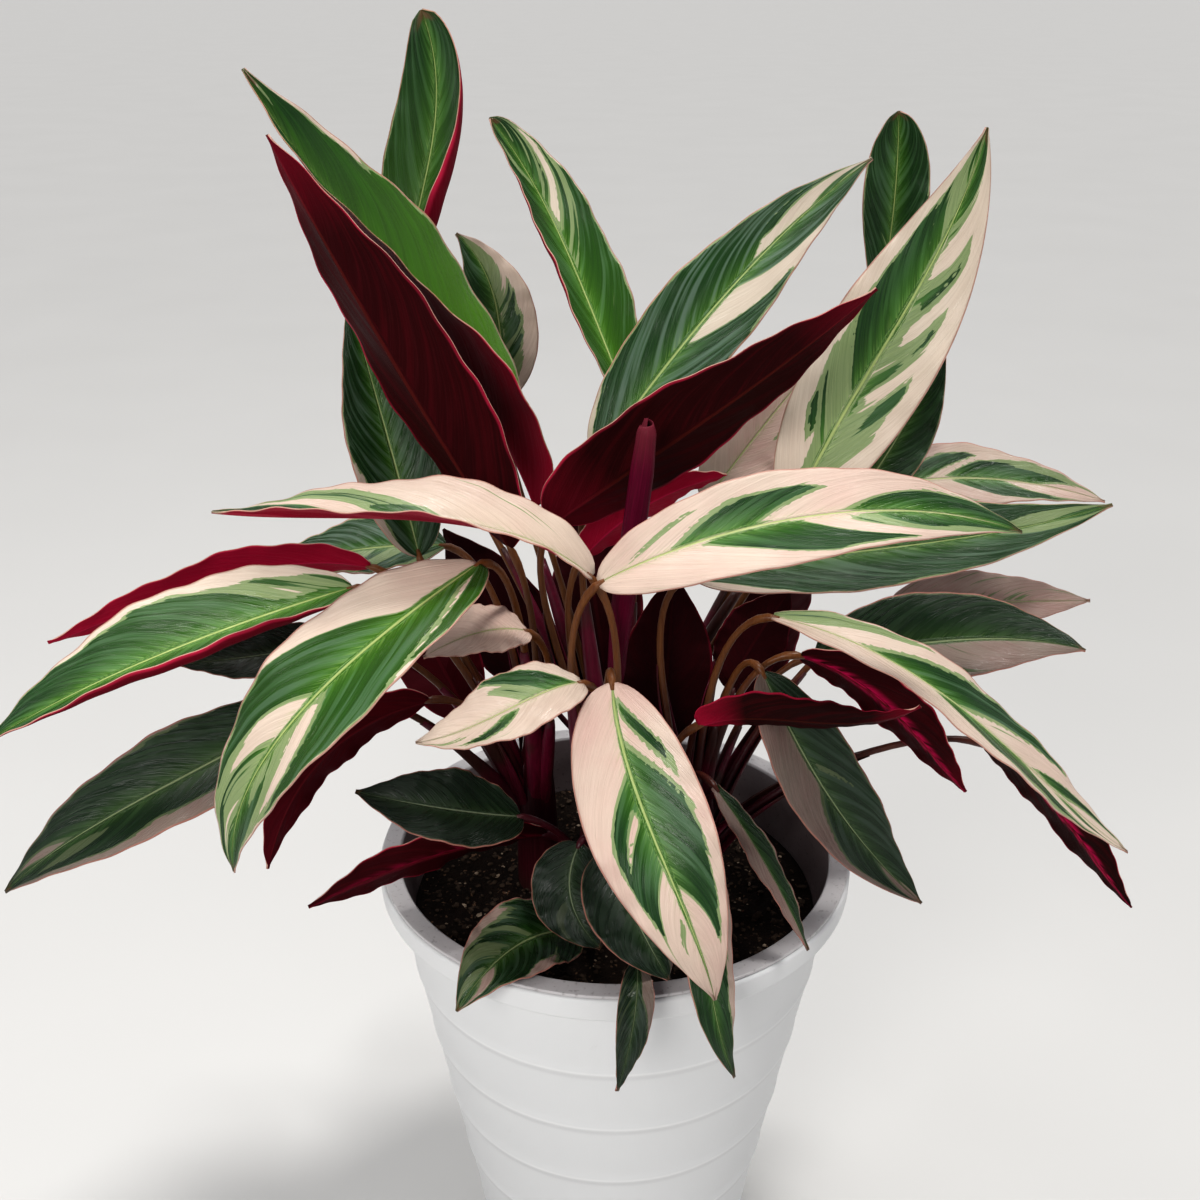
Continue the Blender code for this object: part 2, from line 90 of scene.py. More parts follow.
# Leaf blades and stalks
RIB_THICKNESS = 0.0020
RIB_HALF_WIDTH = 0.0017
MARGIN_SHARE = 0.32
FRILL_HEIGHT = 0.0006
FOLD_SOFTNESS = 0.004
CURL_START = 0.66
VEIN_SWEEP = 0.22
VEIN_BEND = 0.16
BASE_HALF_WIDTH = 0.0030
TIP_HALF_WIDTH = 0.0009
COLUMNS = 24
LONG_LEAF = 0.11
LONG_ROWS = 72
SHORT_ROWS = 44
STALK_ROOT_RADIUS = 0.0034
STALK_TOP_RADIUS = 0.0020
SHEATH_RISE = 0.0045
SHEATH_THICKNESS = 0.0007
SHEATH_REACH = (0.50, 0.66)
SHEATH_COLUMNS = 10
SHEATH_ROWS = 22
SHEATH_STEPS = 40
STALK_STEPS = 22
STEM_RADIUS = 0.0135
STEM_SUNK = 0.0297
STEM_SHAPE = ((0, 1), (0.040, 1), (0.062, 0.99), (0.085, 0.95), (0.108, 0.85), (0.130, 0.70), (0.147, 0.53),
              (0.160, 0.35))


# Camera, in the place that the photo was taken from. Its tilt is in degrees, its lens in millimetres
CAMERA_PLACE = (-0.0094, -0.7566, 0.859)
CAMERA_TILT = 24.6
CAMERA_LENS = 42
CAMERA_SENSOR = 36

# Light: where each lamp stands or shines from, what the fills aim at, and the floor's reach
SUN_FROM = (0.50, 0.10, 1.6)
SUN_POWER = 2.1
SUN_SOFTNESS = 12
FRONT_FILL_PLACE = (-0.7, -1.7, 1.5)
FRONT_FILL_POWER = 20
TOP_LIGHT_PLACE = (-0.5, 0.5, 2.0)
TOP_LIGHT_POWER = 8
LIGHTS_AIM = (0, 0, 0.45)
FLOOR_RADIUS = 60
BACKDROP_HEIGHTS = (0.12, 0.45)
BACKDROP_STRENGTHS = (0.62, 0.34)


@dataclass
class Leaf:
    """One leaf. rib runs from the stalk to the tip; face is where the upper side looks, as (azimuth,
    elevation) in degrees, and face_tip where it looks at the tip; fold raises the halves like a V."""

    name: str
    shoot: str
    width: float
    rib: tuple
    face: tuple
    face_tip: tuple = None
    fold: float = 14
    belly: float = 0.42
    wave: float = 0.16
    waves: float = 3.0
    tint: str = "green_leaf"


# Shoots: where each stands in the soil
SHOOTS = {
    "left": (-5.0, 1.0),
    "front": (-1.0, -4.5),
    "centre": (0.0, 1.0),
    "right": (5.0, -1.5),
    "back": (2.0, 5.5),
}

LEAVES = (
    Leaf("tall_back_left", "centre", 5.6,
         ((-11.9, 9, 60), (-12.3, 12, 71), (-10.7, 13, 78.8), (-11.4, 13, 83.2)),
         (-150, 10), (-80, 15), fold=20, belly=0.55),
    Leaf("arching_upper_left", "centre", 10.4,
         ((-4.8, 3, 56.1), (-10.6, 2.5, 67.2), (-15.1, 1, 74), (-18.8, -1, 80.9)),
         (25, 42), (-62, 54), fold=40),
    Leaf("maroon_upper_left", "left", 7.8,
         ((-6.1, -1, 55), (-11.2, -2, 64.7), (-14.9, -3, 72.6), (-17.2, -4, 78.1)),
         (60, 20), fold=26, tint="maroon_leaf"),
    Leaf("pale_behind_left", "centre", 5.0,
         ((-7.3, 11, 60.3), (-7.3, 12.5, 64.1), (-8, 13.5, 67.3), (-10, 14, 70.2)), (-80, 40)),
    Leaf("upright_centre", "centre", 6.0,
         ((0.8, 8, 61), (-2, 11, 67.3), (-5, 13, 73.3), (-7.5, 12, 77.3)), (-50, 25), fold=25),
    Leaf("upright_right", "centre", 6.2,
         ((-1.2, 3, 59), (4.9, 6, 66.3), (10.2, 8, 71.6), (14.7, 8, 75.5)), (-95, 45)),
    Leaf("upright_behind_right", "back", 4.5, ((16.7, 14, 63.7), (17.8, 16, 71.3), (17.4, 15, 77.4)),
         (-95, 15), fold=22, belly=0.65),
    Leaf("big_cream_right", "back", 7.2,
         ((10.6, 3, 55.5), (14.9, 4, 64.4), (18.2, 4, 71.3), (19.8, 3, 77.7)), (-98, 30)),
    Leaf("maroon_right", "centre", 7.0,
         ((-3.6, -1, 56.6), (1.2, -2, 60.4), (6.3, -3, 64.5), (13.2, -4, 70.6)), (95, 35), belly=0.32,
         tint="maroon_leaf"),
    Leaf("crimson_centre", "centre", 4.6, ((-2, 1.6, 53.4), (1.6, 2.6, 56.2), (6.6, 3, 58.1)),
         (90, 40), tint="maroon_leaf"),
    Leaf("left_upright", "left", 5.6, ((-11.7, 1, 53.7), (-13.5, 3, 60.8), (-15.3, 4, 68.2)), (-60, 10)),
    Leaf("long_left_cream", "front", 5.6,
         ((-1.4, -7, 55.8), (-6, -8, 58.8), (-11.6, -9, 60), (-20.7, -9, 60.3)),
         (-90, 68), (90, 80), fold=38),
    Leaf("long_right", "front", 5.4, ((-1, -8, 55.9), (4.9, -9, 58.9), (11.8, -9, 60.3), (21, -8, 58.8)),
         (-90, 45)),
    Leaf("under_right", "right", 5.6,
         ((4.3, -1, 53.3), (13.7, 0, 54.3), (21.2, 0, 55.4), (28.6, 0, 57.3)), (-90, 50)),
    Leaf("pink_behind_right", "back", 5.0, ((13.7, 8, 54.6), (22, 9, 55.7), (31.2, 8, 54.5)), (-90, 55)),
    Leaf("dark_behind_right", "back", 4.4, ((14.9, 7, 54.6), (18.2, 9, 59.2), (20.5, 10, 64)), (-100, 20)),
    Leaf("folded_right", "right", 6.6,
         ((12.5, 2.5, 46.3), (19.6, 2.5, 47.2), (25.6, 2, 47.6), (28.8, 1, 47.4)), (-80, 50), fold=20),
    Leaf("tan_right", "right", 4.5, ((17.9, 7, 47.4), (25.3, 8, 47.4), (30.9, 7, 48)), (-80, 50)),
    Leaf("long_drooping_right", "right", 4.6,
         ((8.7, -5, 52.5), (15.3, -7, 50.6), (22.4, -7, 45), (30.5, -6, 37.5)),
         (-80, 82), (-60, 50), fold=18),
    Leaf("magenta_low_right", "right", 3.4,
         ((22.8, -1, 41.9), (26.6, -1, 38.6), (30, -1, 34.5), (33.7, -1, 29.7)),
         (60, 20), tint="maroon_leaf"),
    Leaf("magenta_droop_right", "right", 4.4,
         ((10.7, -3, 49.1), (14.2, -3, 47.3), (17.9, -3, 43.8), (21.3, -3, 39.8)),
         (65, 25), tint="maroon_leaf"),
    Leaf("rolled_burgundy", "right", 3.4,
         ((4.5, -9, 47.9), (7.6, -10, 48.9), (12, -10, 48.6), (16.2, -10, 49.6)),
         (90, 30), belly=0.3, wave=0.1, tint="maroon_leaf"),
    Leaf("drooping_pink_right", "right", 5.3,
         ((8.3, -5, 49), (10, -6.5, 45.8), (13.3, -7, 40.4), (18.3, -7, 34.5)), (-70, 30), fold=20),
    Leaf("small_cream_centre", "front", 4.2,
         ((-1.9, -10, 51), (-4.4, -12, 51.2), (-7, -13, 50.3), (-10.3, -14, 49.7)), (-90, 65)),
    Leaf("centre_front", "front", 6.6,
         ((-0.3, -10.4, 51.2), (0.5, -13.5, 48), (1.9, -16, 45), (5, -18.5, 37)), (-95, 40)),
    Leaf("dark_low_a", "front", 4.6, ((-2.1, -7, 38.8), (-2.7, -8.8, 37), (-0.9, -10.6, 34)), (-110, 45)),
    Leaf("dark_low_b", "front", 5.2, ((-0.6, -10.5, 40.6), (0.8, -13.2, 38.6), (2.8, -15, 35.4)), (-80, 50)),
    Leaf("lower_left_rim", "front", 5.4, ((-2.3, -7.6, 32.8), (-5.1, -10.6, 34.6), (-8.7, -16, 34.1)),
         (-100, 60)),
    Leaf("maroon_low_left", "front", 4.0, ((-4.3, -3.4, 37), (-9.7, -6.6, 38), (-17.4, -11, 37.2)), (60, 10),
         tint="maroon_leaf"),
    Leaf("dark_left", "front", 5.0, ((-5.5, -7, 40.6), (-9.9, -9, 42.5), (-14.6, -9, 43.6)), (-100, 60)),
    Leaf("big_front_left", "left", 7.1,
         ((-7.3, -8, 57), (-11.2, -12, 55.4), (-15.5, -14, 52), (-20.4, -14, 41.8)), (-100, 75), (-120, 30)),
    Leaf("long_left", "left", 7.2,
         ((-15, -3, 53.4), (-20.5, -7, 53), (-25.7, -10, 51.9), (-33, -12, 48.6)), (-90, 70), fold=27),
    Leaf("red_band_left", "left", 3.4,
         ((-14.8, 2, 52.6), (-19.5, 1, 53.2), (-25.3, -2, 52.7), (-32, -5, 50.9)),
         (90, 25), tint="maroon_leaf"),
    Leaf("grey_behind_left", "left", 4.5, ((-10.7, 6, 52.3), (-17.4, 6, 51.8), (-22, 5, 51)), (-90, 60)),
    Leaf("left_lower", "left", 6.4,
         ((-17.6, -3.6, 46.4), (-22.4, -8, 45.1), (-27.8, -11, 43.2), (-33.8, -12, 39)), (-95, 60)),
    Leaf("dark_under_left", "left", 4.0, ((-16, -1, 49), (-21.3, -3, 49), (-25.3, -4, 49)), (-90, 60)),
    Leaf("maroon_behind_front", "left", 4.6, ((-11.2, -2, 45.6), (-16.8, -4.5, 43.6), (-20.6, -7, 37)),
         (120, 20), tint="maroon_leaf"),
    Leaf("small_cream_left", "left", 3.5, ((-5, -5, 51.6), (-7.5, -7, 52.5), (-10.5, -8, 51.5)), (-90, 60)),
    Leaf("narrow_over_rim", "front", 2.0, ((1.1, -13.6, 35.6), (1, -16.4, 35.2), (0, -17.6, 30)), (-90, 10)),
    Leaf("green_over_rim", "right", 3.2,
         ((4.1, -8.6, 42.8), (4.6, -12.6, 38.6), (5, -16.2, 35.7), (6.4, -17, 30.4)), (-70, 30)),
    Leaf("narrow_right", "right", 1.8, ((5.6, -7.4, 42.9), (7.6, -9.6, 40.7), (10.8, -12, 35)), (-60, 50)),
    Leaf("dark_inside_right", "right", 3.2, ((6.6, -3.6, 39.6), (8.4, -5, 37.4), (9.8, -7, 34.5)), (60, 60)),
    Leaf("pale_pink", "back", 4.6, ((5.6, 6, 55.2), (9.6, 8, 60), (12.8, 9, 63.8)), (-90, 30)),
    Leaf("inner_magenta", "centre", 5.8, ((2.7, -0.6, 42), (3.2, 0.4, 47), (3.4, 0.9, 52.5)),
         (90, 0), tint="maroon_leaf"),
    Leaf("inner_brown", "right", 4.6, ((7.2, 1.4, 45), (8.8, 2.2, 47.8), (10.8, 3, 50.6)),
         (90, 0), tint="maroon_leaf"),
    Leaf("back_left", "left", 5.6, ((-9.5, 4, 41), (-12.2, 6.2, 45.5), (-15.2, 8.5, 49.5)), (120, 25)),
    Leaf("back_high", "back", 6.0, ((1, 13, 55), (3, 19, 61), (5, 27, 60)), (80, 60)),
    Leaf("back_right", "back", 6.0, ((6, 12, 50), (12, 18, 53), (18, 25, 47)), (50, 55)),
    Leaf("back_low_left", "back", 6.5, ((-5, 8, 41), (-8.2, 9.6, 46.5), (-11.5, 12, 51)), (110, 30)),
    Leaf("back_low", "back", 6.5, ((-0.5, 8.5, 41), (-1.5, 11, 47.5), (-3, 15, 53)), (90, 30)),
    Leaf("back_low_right", "back", 6.5, ((8, 7.5, 41), (11.5, 10.5, 46.5), (16, 14, 50)), (70, 30)),
)

# A new leaf, still rolled into a spear: how often the sheet goes round, and how thick it is
SPEAR_TURNS = 1.34
SPEAR_SHEET = 0.0005
SPEAR_COLUMNS = 44
SPEAR_ROWS = 70
SPEAR = Leaf("spear", "front", 1.3, ((0, -4, 47.4), (0.4, -5, 53.5), (1, -5, 58.3), (1.6, -5, 64.1)),
             (-90, 0))
SPEAR_SHAPE = ((0, 0.45), (0.10, 0.80), (0.40, 1), (0.80, 0.98), (0.94, 0.80), (1, 0.30))

# Halves of a leaf, and tones that its sectors are painted in
LEFT, RIGHT = -1, 1
GREEN, SAGE, CREAM = 0.0, 1.1, 2.0


@dataclass
class Look:
    """A leaf's colours. tone is how pale its left and right halves are, seen from above with the tip up,
    from 0 for green over 1 for sage to 2 for cream. sectors are wedges of another tone between two side
    veins, as (half, from, to, nearest, furthest, tone), where the veins are told by where they leave the
    midrib and the reach is a share of the half's width. pink turns the cream pink, grey veils the green in
    grey-green and painted sheen, shade is painted shade that darkens it, and edge is the share of each half
    that is a cream margin. glow is painted light shining through the leaf, which reddens the underside, ends
    adds to it at the base and the tip, and stripe reddens it along the midrib. lit is painted backlight that
    turns the green yellower, curl turns up the left and right margins, and blunt rounds off the tip."""

    tone: tuple = (0.35, 0.35)
    pink: float = 0.3
    grey: float = 0.2
    shade: float = 1.0
    glow: float = 0.25
    edge: float = 0.04
    sectors: tuple = ()
    ends: tuple = (0.0, 0.0)
    stripe: float = 0.0
    lit: float = 0.0
    curl: tuple = (0.0, 0.0)
    blunt: float = 0.0


LOOKS = {
    "tall_back_left": Look((0.1, 0.15), 0.5, 0.15, 0.9, 0.5, 0.01, lit=0.3, curl=(0.0, 1.0), blunt=0.46),
    "arching_upper_left": Look((0.0, 0.0), 0.3, 0.0, 1.0, 0.30, 0.012, ends=(0.8, 0.0), lit=0.65, sectors=(
        (RIGHT, 0.40, 0.80, 0.86, 1.2, CREAM), (LEFT, 0.70, 0.86, 0.5, 1.2, SAGE),
        (RIGHT, 0.84, 1.2, 0.3, 1.2, CREAM))),
    "maroon_upper_left": Look((0.3, 0.3), 0.4, 0.2, 1.0, 0.04, ends=(0.0, 0.25)),
    "pale_behind_left": Look((0.1, 1.15), 0.3, 0.4, 0.8, 0.25, 0.06, sectors=(
        (RIGHT, -0.5, 1.2, 0.62, 1.2, CREAM), (RIGHT, 0.30, 0.40, 0.1, 0.5, GREEN),
        (LEFT, 0.30, 0.42, 0.1, 0.8, SAGE))),
    "upright_centre": Look(
        (0.15, 0.25), 0.1, 0.2, 1.0, 0.3, 0.05, lit=0.15, curl=(0.3, 0.0), blunt=0.35, sectors=(
        (RIGHT, 0.42, 0.70, 0.0, 0.9, SAGE), (RIGHT, 0.56, 0.64, 0.1, 0.9, CREAM),
        (LEFT, 0.72, 0.80, 0.0, 0.6, SAGE), (LEFT, -0.5, 0.2, 0.8, 1.2, CREAM),
        (RIGHT, 0.84, 0.90, 0.2, 1.2, SAGE))),
    "upright_right": Look((0.05, 0.1), 0.1, 0.6, 0.8, 0.2, 0.02, sectors=(
        (LEFT, 0.60, 0.82, 0.0, 1.2, CREAM), (LEFT, 0.58, 0.68, 0.3, 1.0, SAGE),
        (LEFT, -0.6, -0.17, 0.5, 1.2, CREAM), (RIGHT, 0.34, 0.54, 0.05, 1.2, CREAM),
        (RIGHT, -0.6, 0.02, 0.7, 1.2, CREAM), (LEFT, 0.88, 1.2, 0, 0.7, SAGE))),
    "upright_behind_right": Look((0.15, 0.15), 0.2, 0.25, 0.9, 0.15, 0.02, blunt=0.4),
    "big_cream_right": Look((1.1, 1.1), 0.2, 0.1, 1.0, 0.25, 0.32, sectors=(
        (LEFT, 0.33, 0.64, 0.03, 0.74, GREEN), (LEFT, -0.6, 0.14, 0.30, 1.2, CREAM),
        (LEFT, 0.08, 0.13, 0.40, 0.62, GREEN), (RIGHT, -0.6, 0.04, 0.45, 1.2, CREAM),
        (RIGHT, 0.26, 0.31, 0.15, 0.75, CREAM), (RIGHT, 0.44, 0.48, 0.2, 0.8, CREAM),
        (RIGHT, 0.62, 0.70, 0.1, 1.2, CREAM), (RIGHT, 0.52, 0.56, 0.2, 0.85, GREEN),
        (RIGHT, 0.17, 0.20, 0.45, 0.80, GREEN), (RIGHT, 0.36, 0.40, 0.5, 0.78, GREEN),
        (RIGHT, 0.78, 0.90, 0.05, 0.6, GREEN))),
    "maroon_right": Look((0.3, 0.3), 0.3, 0.3, 1.0, 0.02, ends=(0.25, 0.25)),
    "crimson_centre": Look((0.5, 0.5), 0.5, 0.3, 1.0, 1.0),
    "left_upright": Look((0.1, 0.15), 0.3, 0.5, 0.6, 0.25, 0.05, sectors=(
        (RIGHT, 0.25, 0.75, 0.8, 1.2, CREAM), (LEFT, -0.4, 0.1, 0.75, 1.2, CREAM))),
    "long_left_cream": Look((1.9, 1.9), 0.45, 0.2, 0.9, 0.8, 0.06, sectors=(
        (LEFT, 0.36, 0.52, 0.1, 0.75, GREEN), (RIGHT, 0.42, 0.56, 0.0, 0.25, GREEN),
        (LEFT, 0.60, 0.78, 0.0, 0.6, GREEN), (RIGHT, 0.66, 0.84, 0.1, 0.9, GREEN))),
    "long_right": Look((1.9, 1.9), 0.5, 0.15, 0.95, 0.3, 0.06, sectors=(
        (LEFT, 0.18, 0.38, 0.02, 0.62, GREEN), (LEFT, 0.57, 1.2, 0.0, 1.0, GREEN),
        (RIGHT, 0.26, 0.46, 0.02, 0.86, GREEN), (RIGHT, 0.56, 0.64, 0.1, 0.9, SAGE),
        (RIGHT, 0.62, 1.2, 0.0, 0.48, GREEN), (LEFT, 0.03, 0.07, 0.1, 0.7, SAGE))),
    "under_right": Look((0.2, 0.15), 0.3, 0.45, 0.75, 0.3, 0.06, sectors=(
        (LEFT, 0.66, 0.86, 0.0, 1.2, SAGE), (RIGHT, 0.72, 0.84, 0.0, 1.2, SAGE),
        (RIGHT, -0.6, -0.1, 0.6, 1.2, CREAM))),
    "pink_behind_right": Look((1.9, 1.9), 0.6, 0.25, 0.7, 0.3, 0.08, sectors=(
        (LEFT, 0.22, 0.34, 0.02, 0.7, GREEN), (LEFT, 0.42, 0.75, 0.0, 0.5, GREEN),
        (RIGHT, 0.44, 0.62, 0.0, 0.7, GREEN), (RIGHT, 0.15, 0.26, 0.3, 0.9, SAGE))),
    "dark_behind_right": Look((0.1, 0.1), 0.3, 0.1, 0.5, 0.25, 0.03),
    "folded_right": Look((0.05, 1.9), 0.75, 0.1, 0.3, 0.25, 0.05, sectors=(
        (RIGHT, 0.05, 0.30, 0.1, 0.8, SAGE), (LEFT, 0.85, 1.2, 0.3, 1.2, SAGE))),
    "tan_right": Look((1.7, 1.9), 0.8, 0.2, 0.5, 0.2, 0.05),
    "long_drooping_right": Look((1.8, 1.9), 0.4, 0.35, 0.9, 0.3, 0.06, sectors=(
        (LEFT, 0.18, 0.42, 0.03, 1.2, GREEN), (LEFT, -0.6, 0.02, 0.1, 1.0, SAGE),
        (LEFT, 0.66, 0.74, 0.1, 0.8, GREEN), (RIGHT, 0.36, 0.62, 0.0, 0.62, GREEN),
        (RIGHT, 0.72, 0.80, 0.0, 0.5, SAGE))),
    "magenta_low_right": Look((0.4, 0.4), 0.4, 0.3, 0.8, 0.0, stripe=1.0),
    "magenta_droop_right": Look((0.4, 0.4), 0.4, 0.3, 0.9, 0.04, stripe=1.0, ends=(0.0, 0.2)),
    "rolled_burgundy": Look((0.4, 0.4), 0.4, 0.3, 0.85, 0.0, ends=(1.0, 0.5), curl=(0.5, 0.5)),
    "drooping_pink_right": Look((0.1, 1.9), 0.9, 0.55, 0.26, 0.25, 0.05, sectors=(
        (RIGHT, 0.42, 0.76, 0.02, 0.78, GREEN), (LEFT, 0.30, 0.34, 0.1, 0.7, SAGE),
        (LEFT, 0.86, 1.2, 0, 0.5, CREAM))),
    "small_cream_centre": Look((1.95, 1.95), 0.3, 0.15, 0.9, 0.3, 0.06, sectors=(
        (LEFT, 0.40, 0.50, 0.12, 0.8, GREEN), (RIGHT, 0.04, 0.24, 0.0, 0.9, GREEN),
        (RIGHT, 0.24, 0.40, 0.0, 0.62, SAGE), (LEFT, 0.62, 0.70, 0.3, 0.9, SAGE))),
    "centre_front": Look((0.2, 0.6), 0.65, 0.25, 0.85, 0.3, 0.10, sectors=(
        (LEFT, -0.6, 0.18, 0.0, 1.2, CREAM), (LEFT, 0.02, 0.08, 0.1, 0.9, GREEN),
        (LEFT, 0.62, 1.2, 0.0, 1.2, CREAM), (LEFT, -0.6, 1.2, 0.74, 1.2, CREAM),
        (RIGHT, -0.6, 0.27, 0.0, 1.2, CREAM), (RIGHT, 0.55, 1.2, 0.0, 1.2, CREAM),
        (RIGHT, 0.27, 0.50, 0.03, 0.68, GREEN), (RIGHT, 0.36, 0.40, 0.1, 0.6, CREAM),
        (RIGHT, -0.6, 1.2, 0.70, 1.2, CREAM), (RIGHT, 0.66, 0.74, 0.1, 0.5, SAGE))),
    "dark_low_a": Look((0.1, 0.1), 0.7, 0.35, 0.12, 0.3, 0.03, sectors=(
        (RIGHT, 0.48, 0.56, 0.15, 1.2, SAGE),)),
    "dark_low_b": Look((0.1, 0.1), 0.9, 0.3, 0.14, 0.3, 0.06, sectors=(
        (LEFT, 0.2, 0.7, 0.55, 1.2, CREAM),)),
    "lower_left_rim": Look((0.4, 0.4), 0.8, 0.4, 0.42, 0.3, 0.06, sectors=(
        (LEFT, 0.68, 0.80, 0.0, 0.8, CREAM), (LEFT, 0.14, 0.34, 0.7, 1.2, CREAM),
        (RIGHT, 0.50, 0.62, 0.1, 0.8, SAGE), (RIGHT, 0.72, 0.84, 0.1, 1.2, SAGE),
        (RIGHT, 0.10, 0.40, 0.78, 1.2, CREAM))),
    "maroon_low_left": Look((0.3, 0.3), 0.4, 0.2, 0.8, 0.08, stripe=0.3),
    "dark_left": Look((0.05, 0.05), 0.9, 0.2, 0.12, 0.2, 0.05),
    "big_front_left": Look((0.05, 0.05), 0.3, 0.3, 1.0, 0.3, 0.06, lit=0.15, sectors=(
        (LEFT, -0.05, 0.02, 0.3, 1.2, CREAM), (LEFT, 0.44, 0.74, 0.0, 1.2, SAGE),
        (LEFT, 0.44, 0.52, 0.08, 0.75, CREAM), (LEFT, 0.62, 1.2, 0.35, 1.2, GREEN),
        (RIGHT, -0.6, 0.20, 0.10, 1.2, CREAM), (RIGHT, 0.50, 0.86, 0.0, 0.62, SAGE),
        (RIGHT, 0.48, 0.60, 0.0, 0.5, CREAM))),
    "long_left": Look((0.05, 0.1), 0.3, 0.2, 1.0, 0.35, 0.04, lit=0.12, curl=(0.45, 0.0), sectors=(
        (RIGHT, -0.10, 0.16, 0.15, 0.9, SAGE), (RIGHT, -0.6, 0.12, 0.72, 1.2, CREAM),
        (RIGHT, 0.10, 0.45, 0.86, 1.2, CREAM))),
    "red_band_left": Look((0.4, 0.4), 0.4, 0.3, 1.0, 0.75),
    "grey_behind_left": Look((0.9, 0.15), 0.3, 0.7, 0.7, 0.3, 0.04),
    "left_lower": Look((0.0, 0.0), 0.7, 0.05, 0.30, 0.2, 0.05, sectors=(
        (LEFT, -0.6, 0.36, 0.62, 1.2, CREAM), (LEFT, 0.2, 0.8, 0.80, 1.2, CREAM),
        (LEFT, 0.50, 0.76, 0.2, 0.6, SAGE), (RIGHT, 0.74, 0.84, 0.0, 0.4, CREAM),
        (RIGHT, 0.05, 0.6, 0.93, 1.2, CREAM))),
    "dark_under_left": Look((0.1, 0.1), 0.3, 0.2, 0.12, 0.2, 0.03),
    "maroon_behind_front": Look((0.3, 0.3), 0.4, 0.2, 1.0, 0.15),
    "small_cream_left": Look((2.4, 2.4), 0.45, 0.1, 1.0, 0.8, 0.0),
    "narrow_over_rim": Look((0.3, 0.5), 0.7, 0.7, 0.22, 0.3, 0.05, sectors=(
        (LEFT, -0.6, 0.25, 0.3, 1.2, CREAM),)),
    "green_over_rim": Look((0.05, 0.05), 0.6, 0.1, 0.5, 0.3, 0.05, sectors=(
        (LEFT, -0.6, 0.5, 0.72, 1.2, CREAM),)),
    "narrow_right": Look((0.1, 2.2), 0.9, 0.1, 0.35, 0.5, 0.10),
    "dark_inside_right": Look((0.15, 0.15), 0.5, 0.2, 0.1, 0.3, 0.03),
    "pale_pink": Look((1.9, 1.9), 0.7, 0.2, 0.8, 0.2, 0.06, sectors=(
        (RIGHT, 0.35, 0.6, 0.5, 1.2, GREEN),)),
    "inner_magenta": Look((0.3, 0.3), 0.4, 0.2, 0.25, 0.15),
    "inner_brown": Look((0.4, 0.4), 0.4, 0.2, 0.25, 0.2),
    "back_left": Look((0.1, 0.1), 0.3, 0.3, 0.45, 0.25, 0.06, sectors=(
        (LEFT, 0.3, 0.5, 0.0, 1.2, CREAM), (RIGHT, -0.6, 0.2, 0.2, 1.2, CREAM),
        (RIGHT, 0.5, 0.62, 0.0, 0.8, SAGE))),
    "back_high": Look((0.1, 0.1), 0.3, 0.3, 0.95, 0.3, 0.05, sectors=(
        (RIGHT, 0.35, 0.6, 0.0, 1.2, CREAM), (RIGHT, 0.42, 0.5, 0.2, 0.9, SAGE),
        (LEFT, -0.6, 0.1, 0.4, 1.2, CREAM))),
    "back_right": Look((0.1, 0.1), 0.4, 0.3, 0.9, 0.3, 0.06, sectors=(
        (LEFT, 0.1, 0.3, 0.1, 1.2, CREAM), (LEFT, 0.6, 0.8, 0.0, 0.8, SAGE),
        (RIGHT, 0.45, 0.6, 0.0, 1.2, CREAM))),
    "back_low_left": Look((0.3, 0.4), 0.5, 0.3, 0.25, 0.2, 0.06, sectors=(
        (RIGHT, 0.2, 0.4, 0.1, 1.2, CREAM), (LEFT, -0.6, 0.0, 0.3, 1.2, CREAM))),
    "back_low": Look((1.7, 0.2), 0.5, 0.3, 0.25, 0.2, 0.06, sectors=(
        (LEFT, 0.25, 0.5, 0.0, 0.8, GREEN), (RIGHT, 0.6, 0.75, 0.0, 1.2, SAGE))),
    "back_low_right": Look((0.2, 0.2), 0.4, 0.3, 0.25, 0.2, 0.06, sectors=(
        (RIGHT, -0.6, 0.15, 0.1, 1.2, CREAM), (LEFT, 0.4, 0.6, 0.1, 1.2, SAGE))),
}


def add_object(name, bm):
    mesh = bpy.data.meshes.new(name)
    bm.to_mesh(mesh)
    bm.free()
    obj = bpy.data.objects.new(name, mesh)
    bpy.context.scene.collection.objects.link(obj)
    return obj


def settle(obj, slot, replaced, *materials):
    """Rides a finished piece on the part's one body, in place of its plain solid."""
    for material in materials:
        obj.data.materials.append(material)
    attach(obj, "root")
    if replaced:
        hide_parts(replaced)


def apply_modifiers(obj):
    graph = bpy.context.evaluated_depsgraph_get()
    mesh = bpy.data.meshes.new_from_object(obj.evaluated_get(graph))
    old = obj.data
    obj.modifiers.clear()
    obj.data = mesh
    bpy.data.meshes.remove(old)


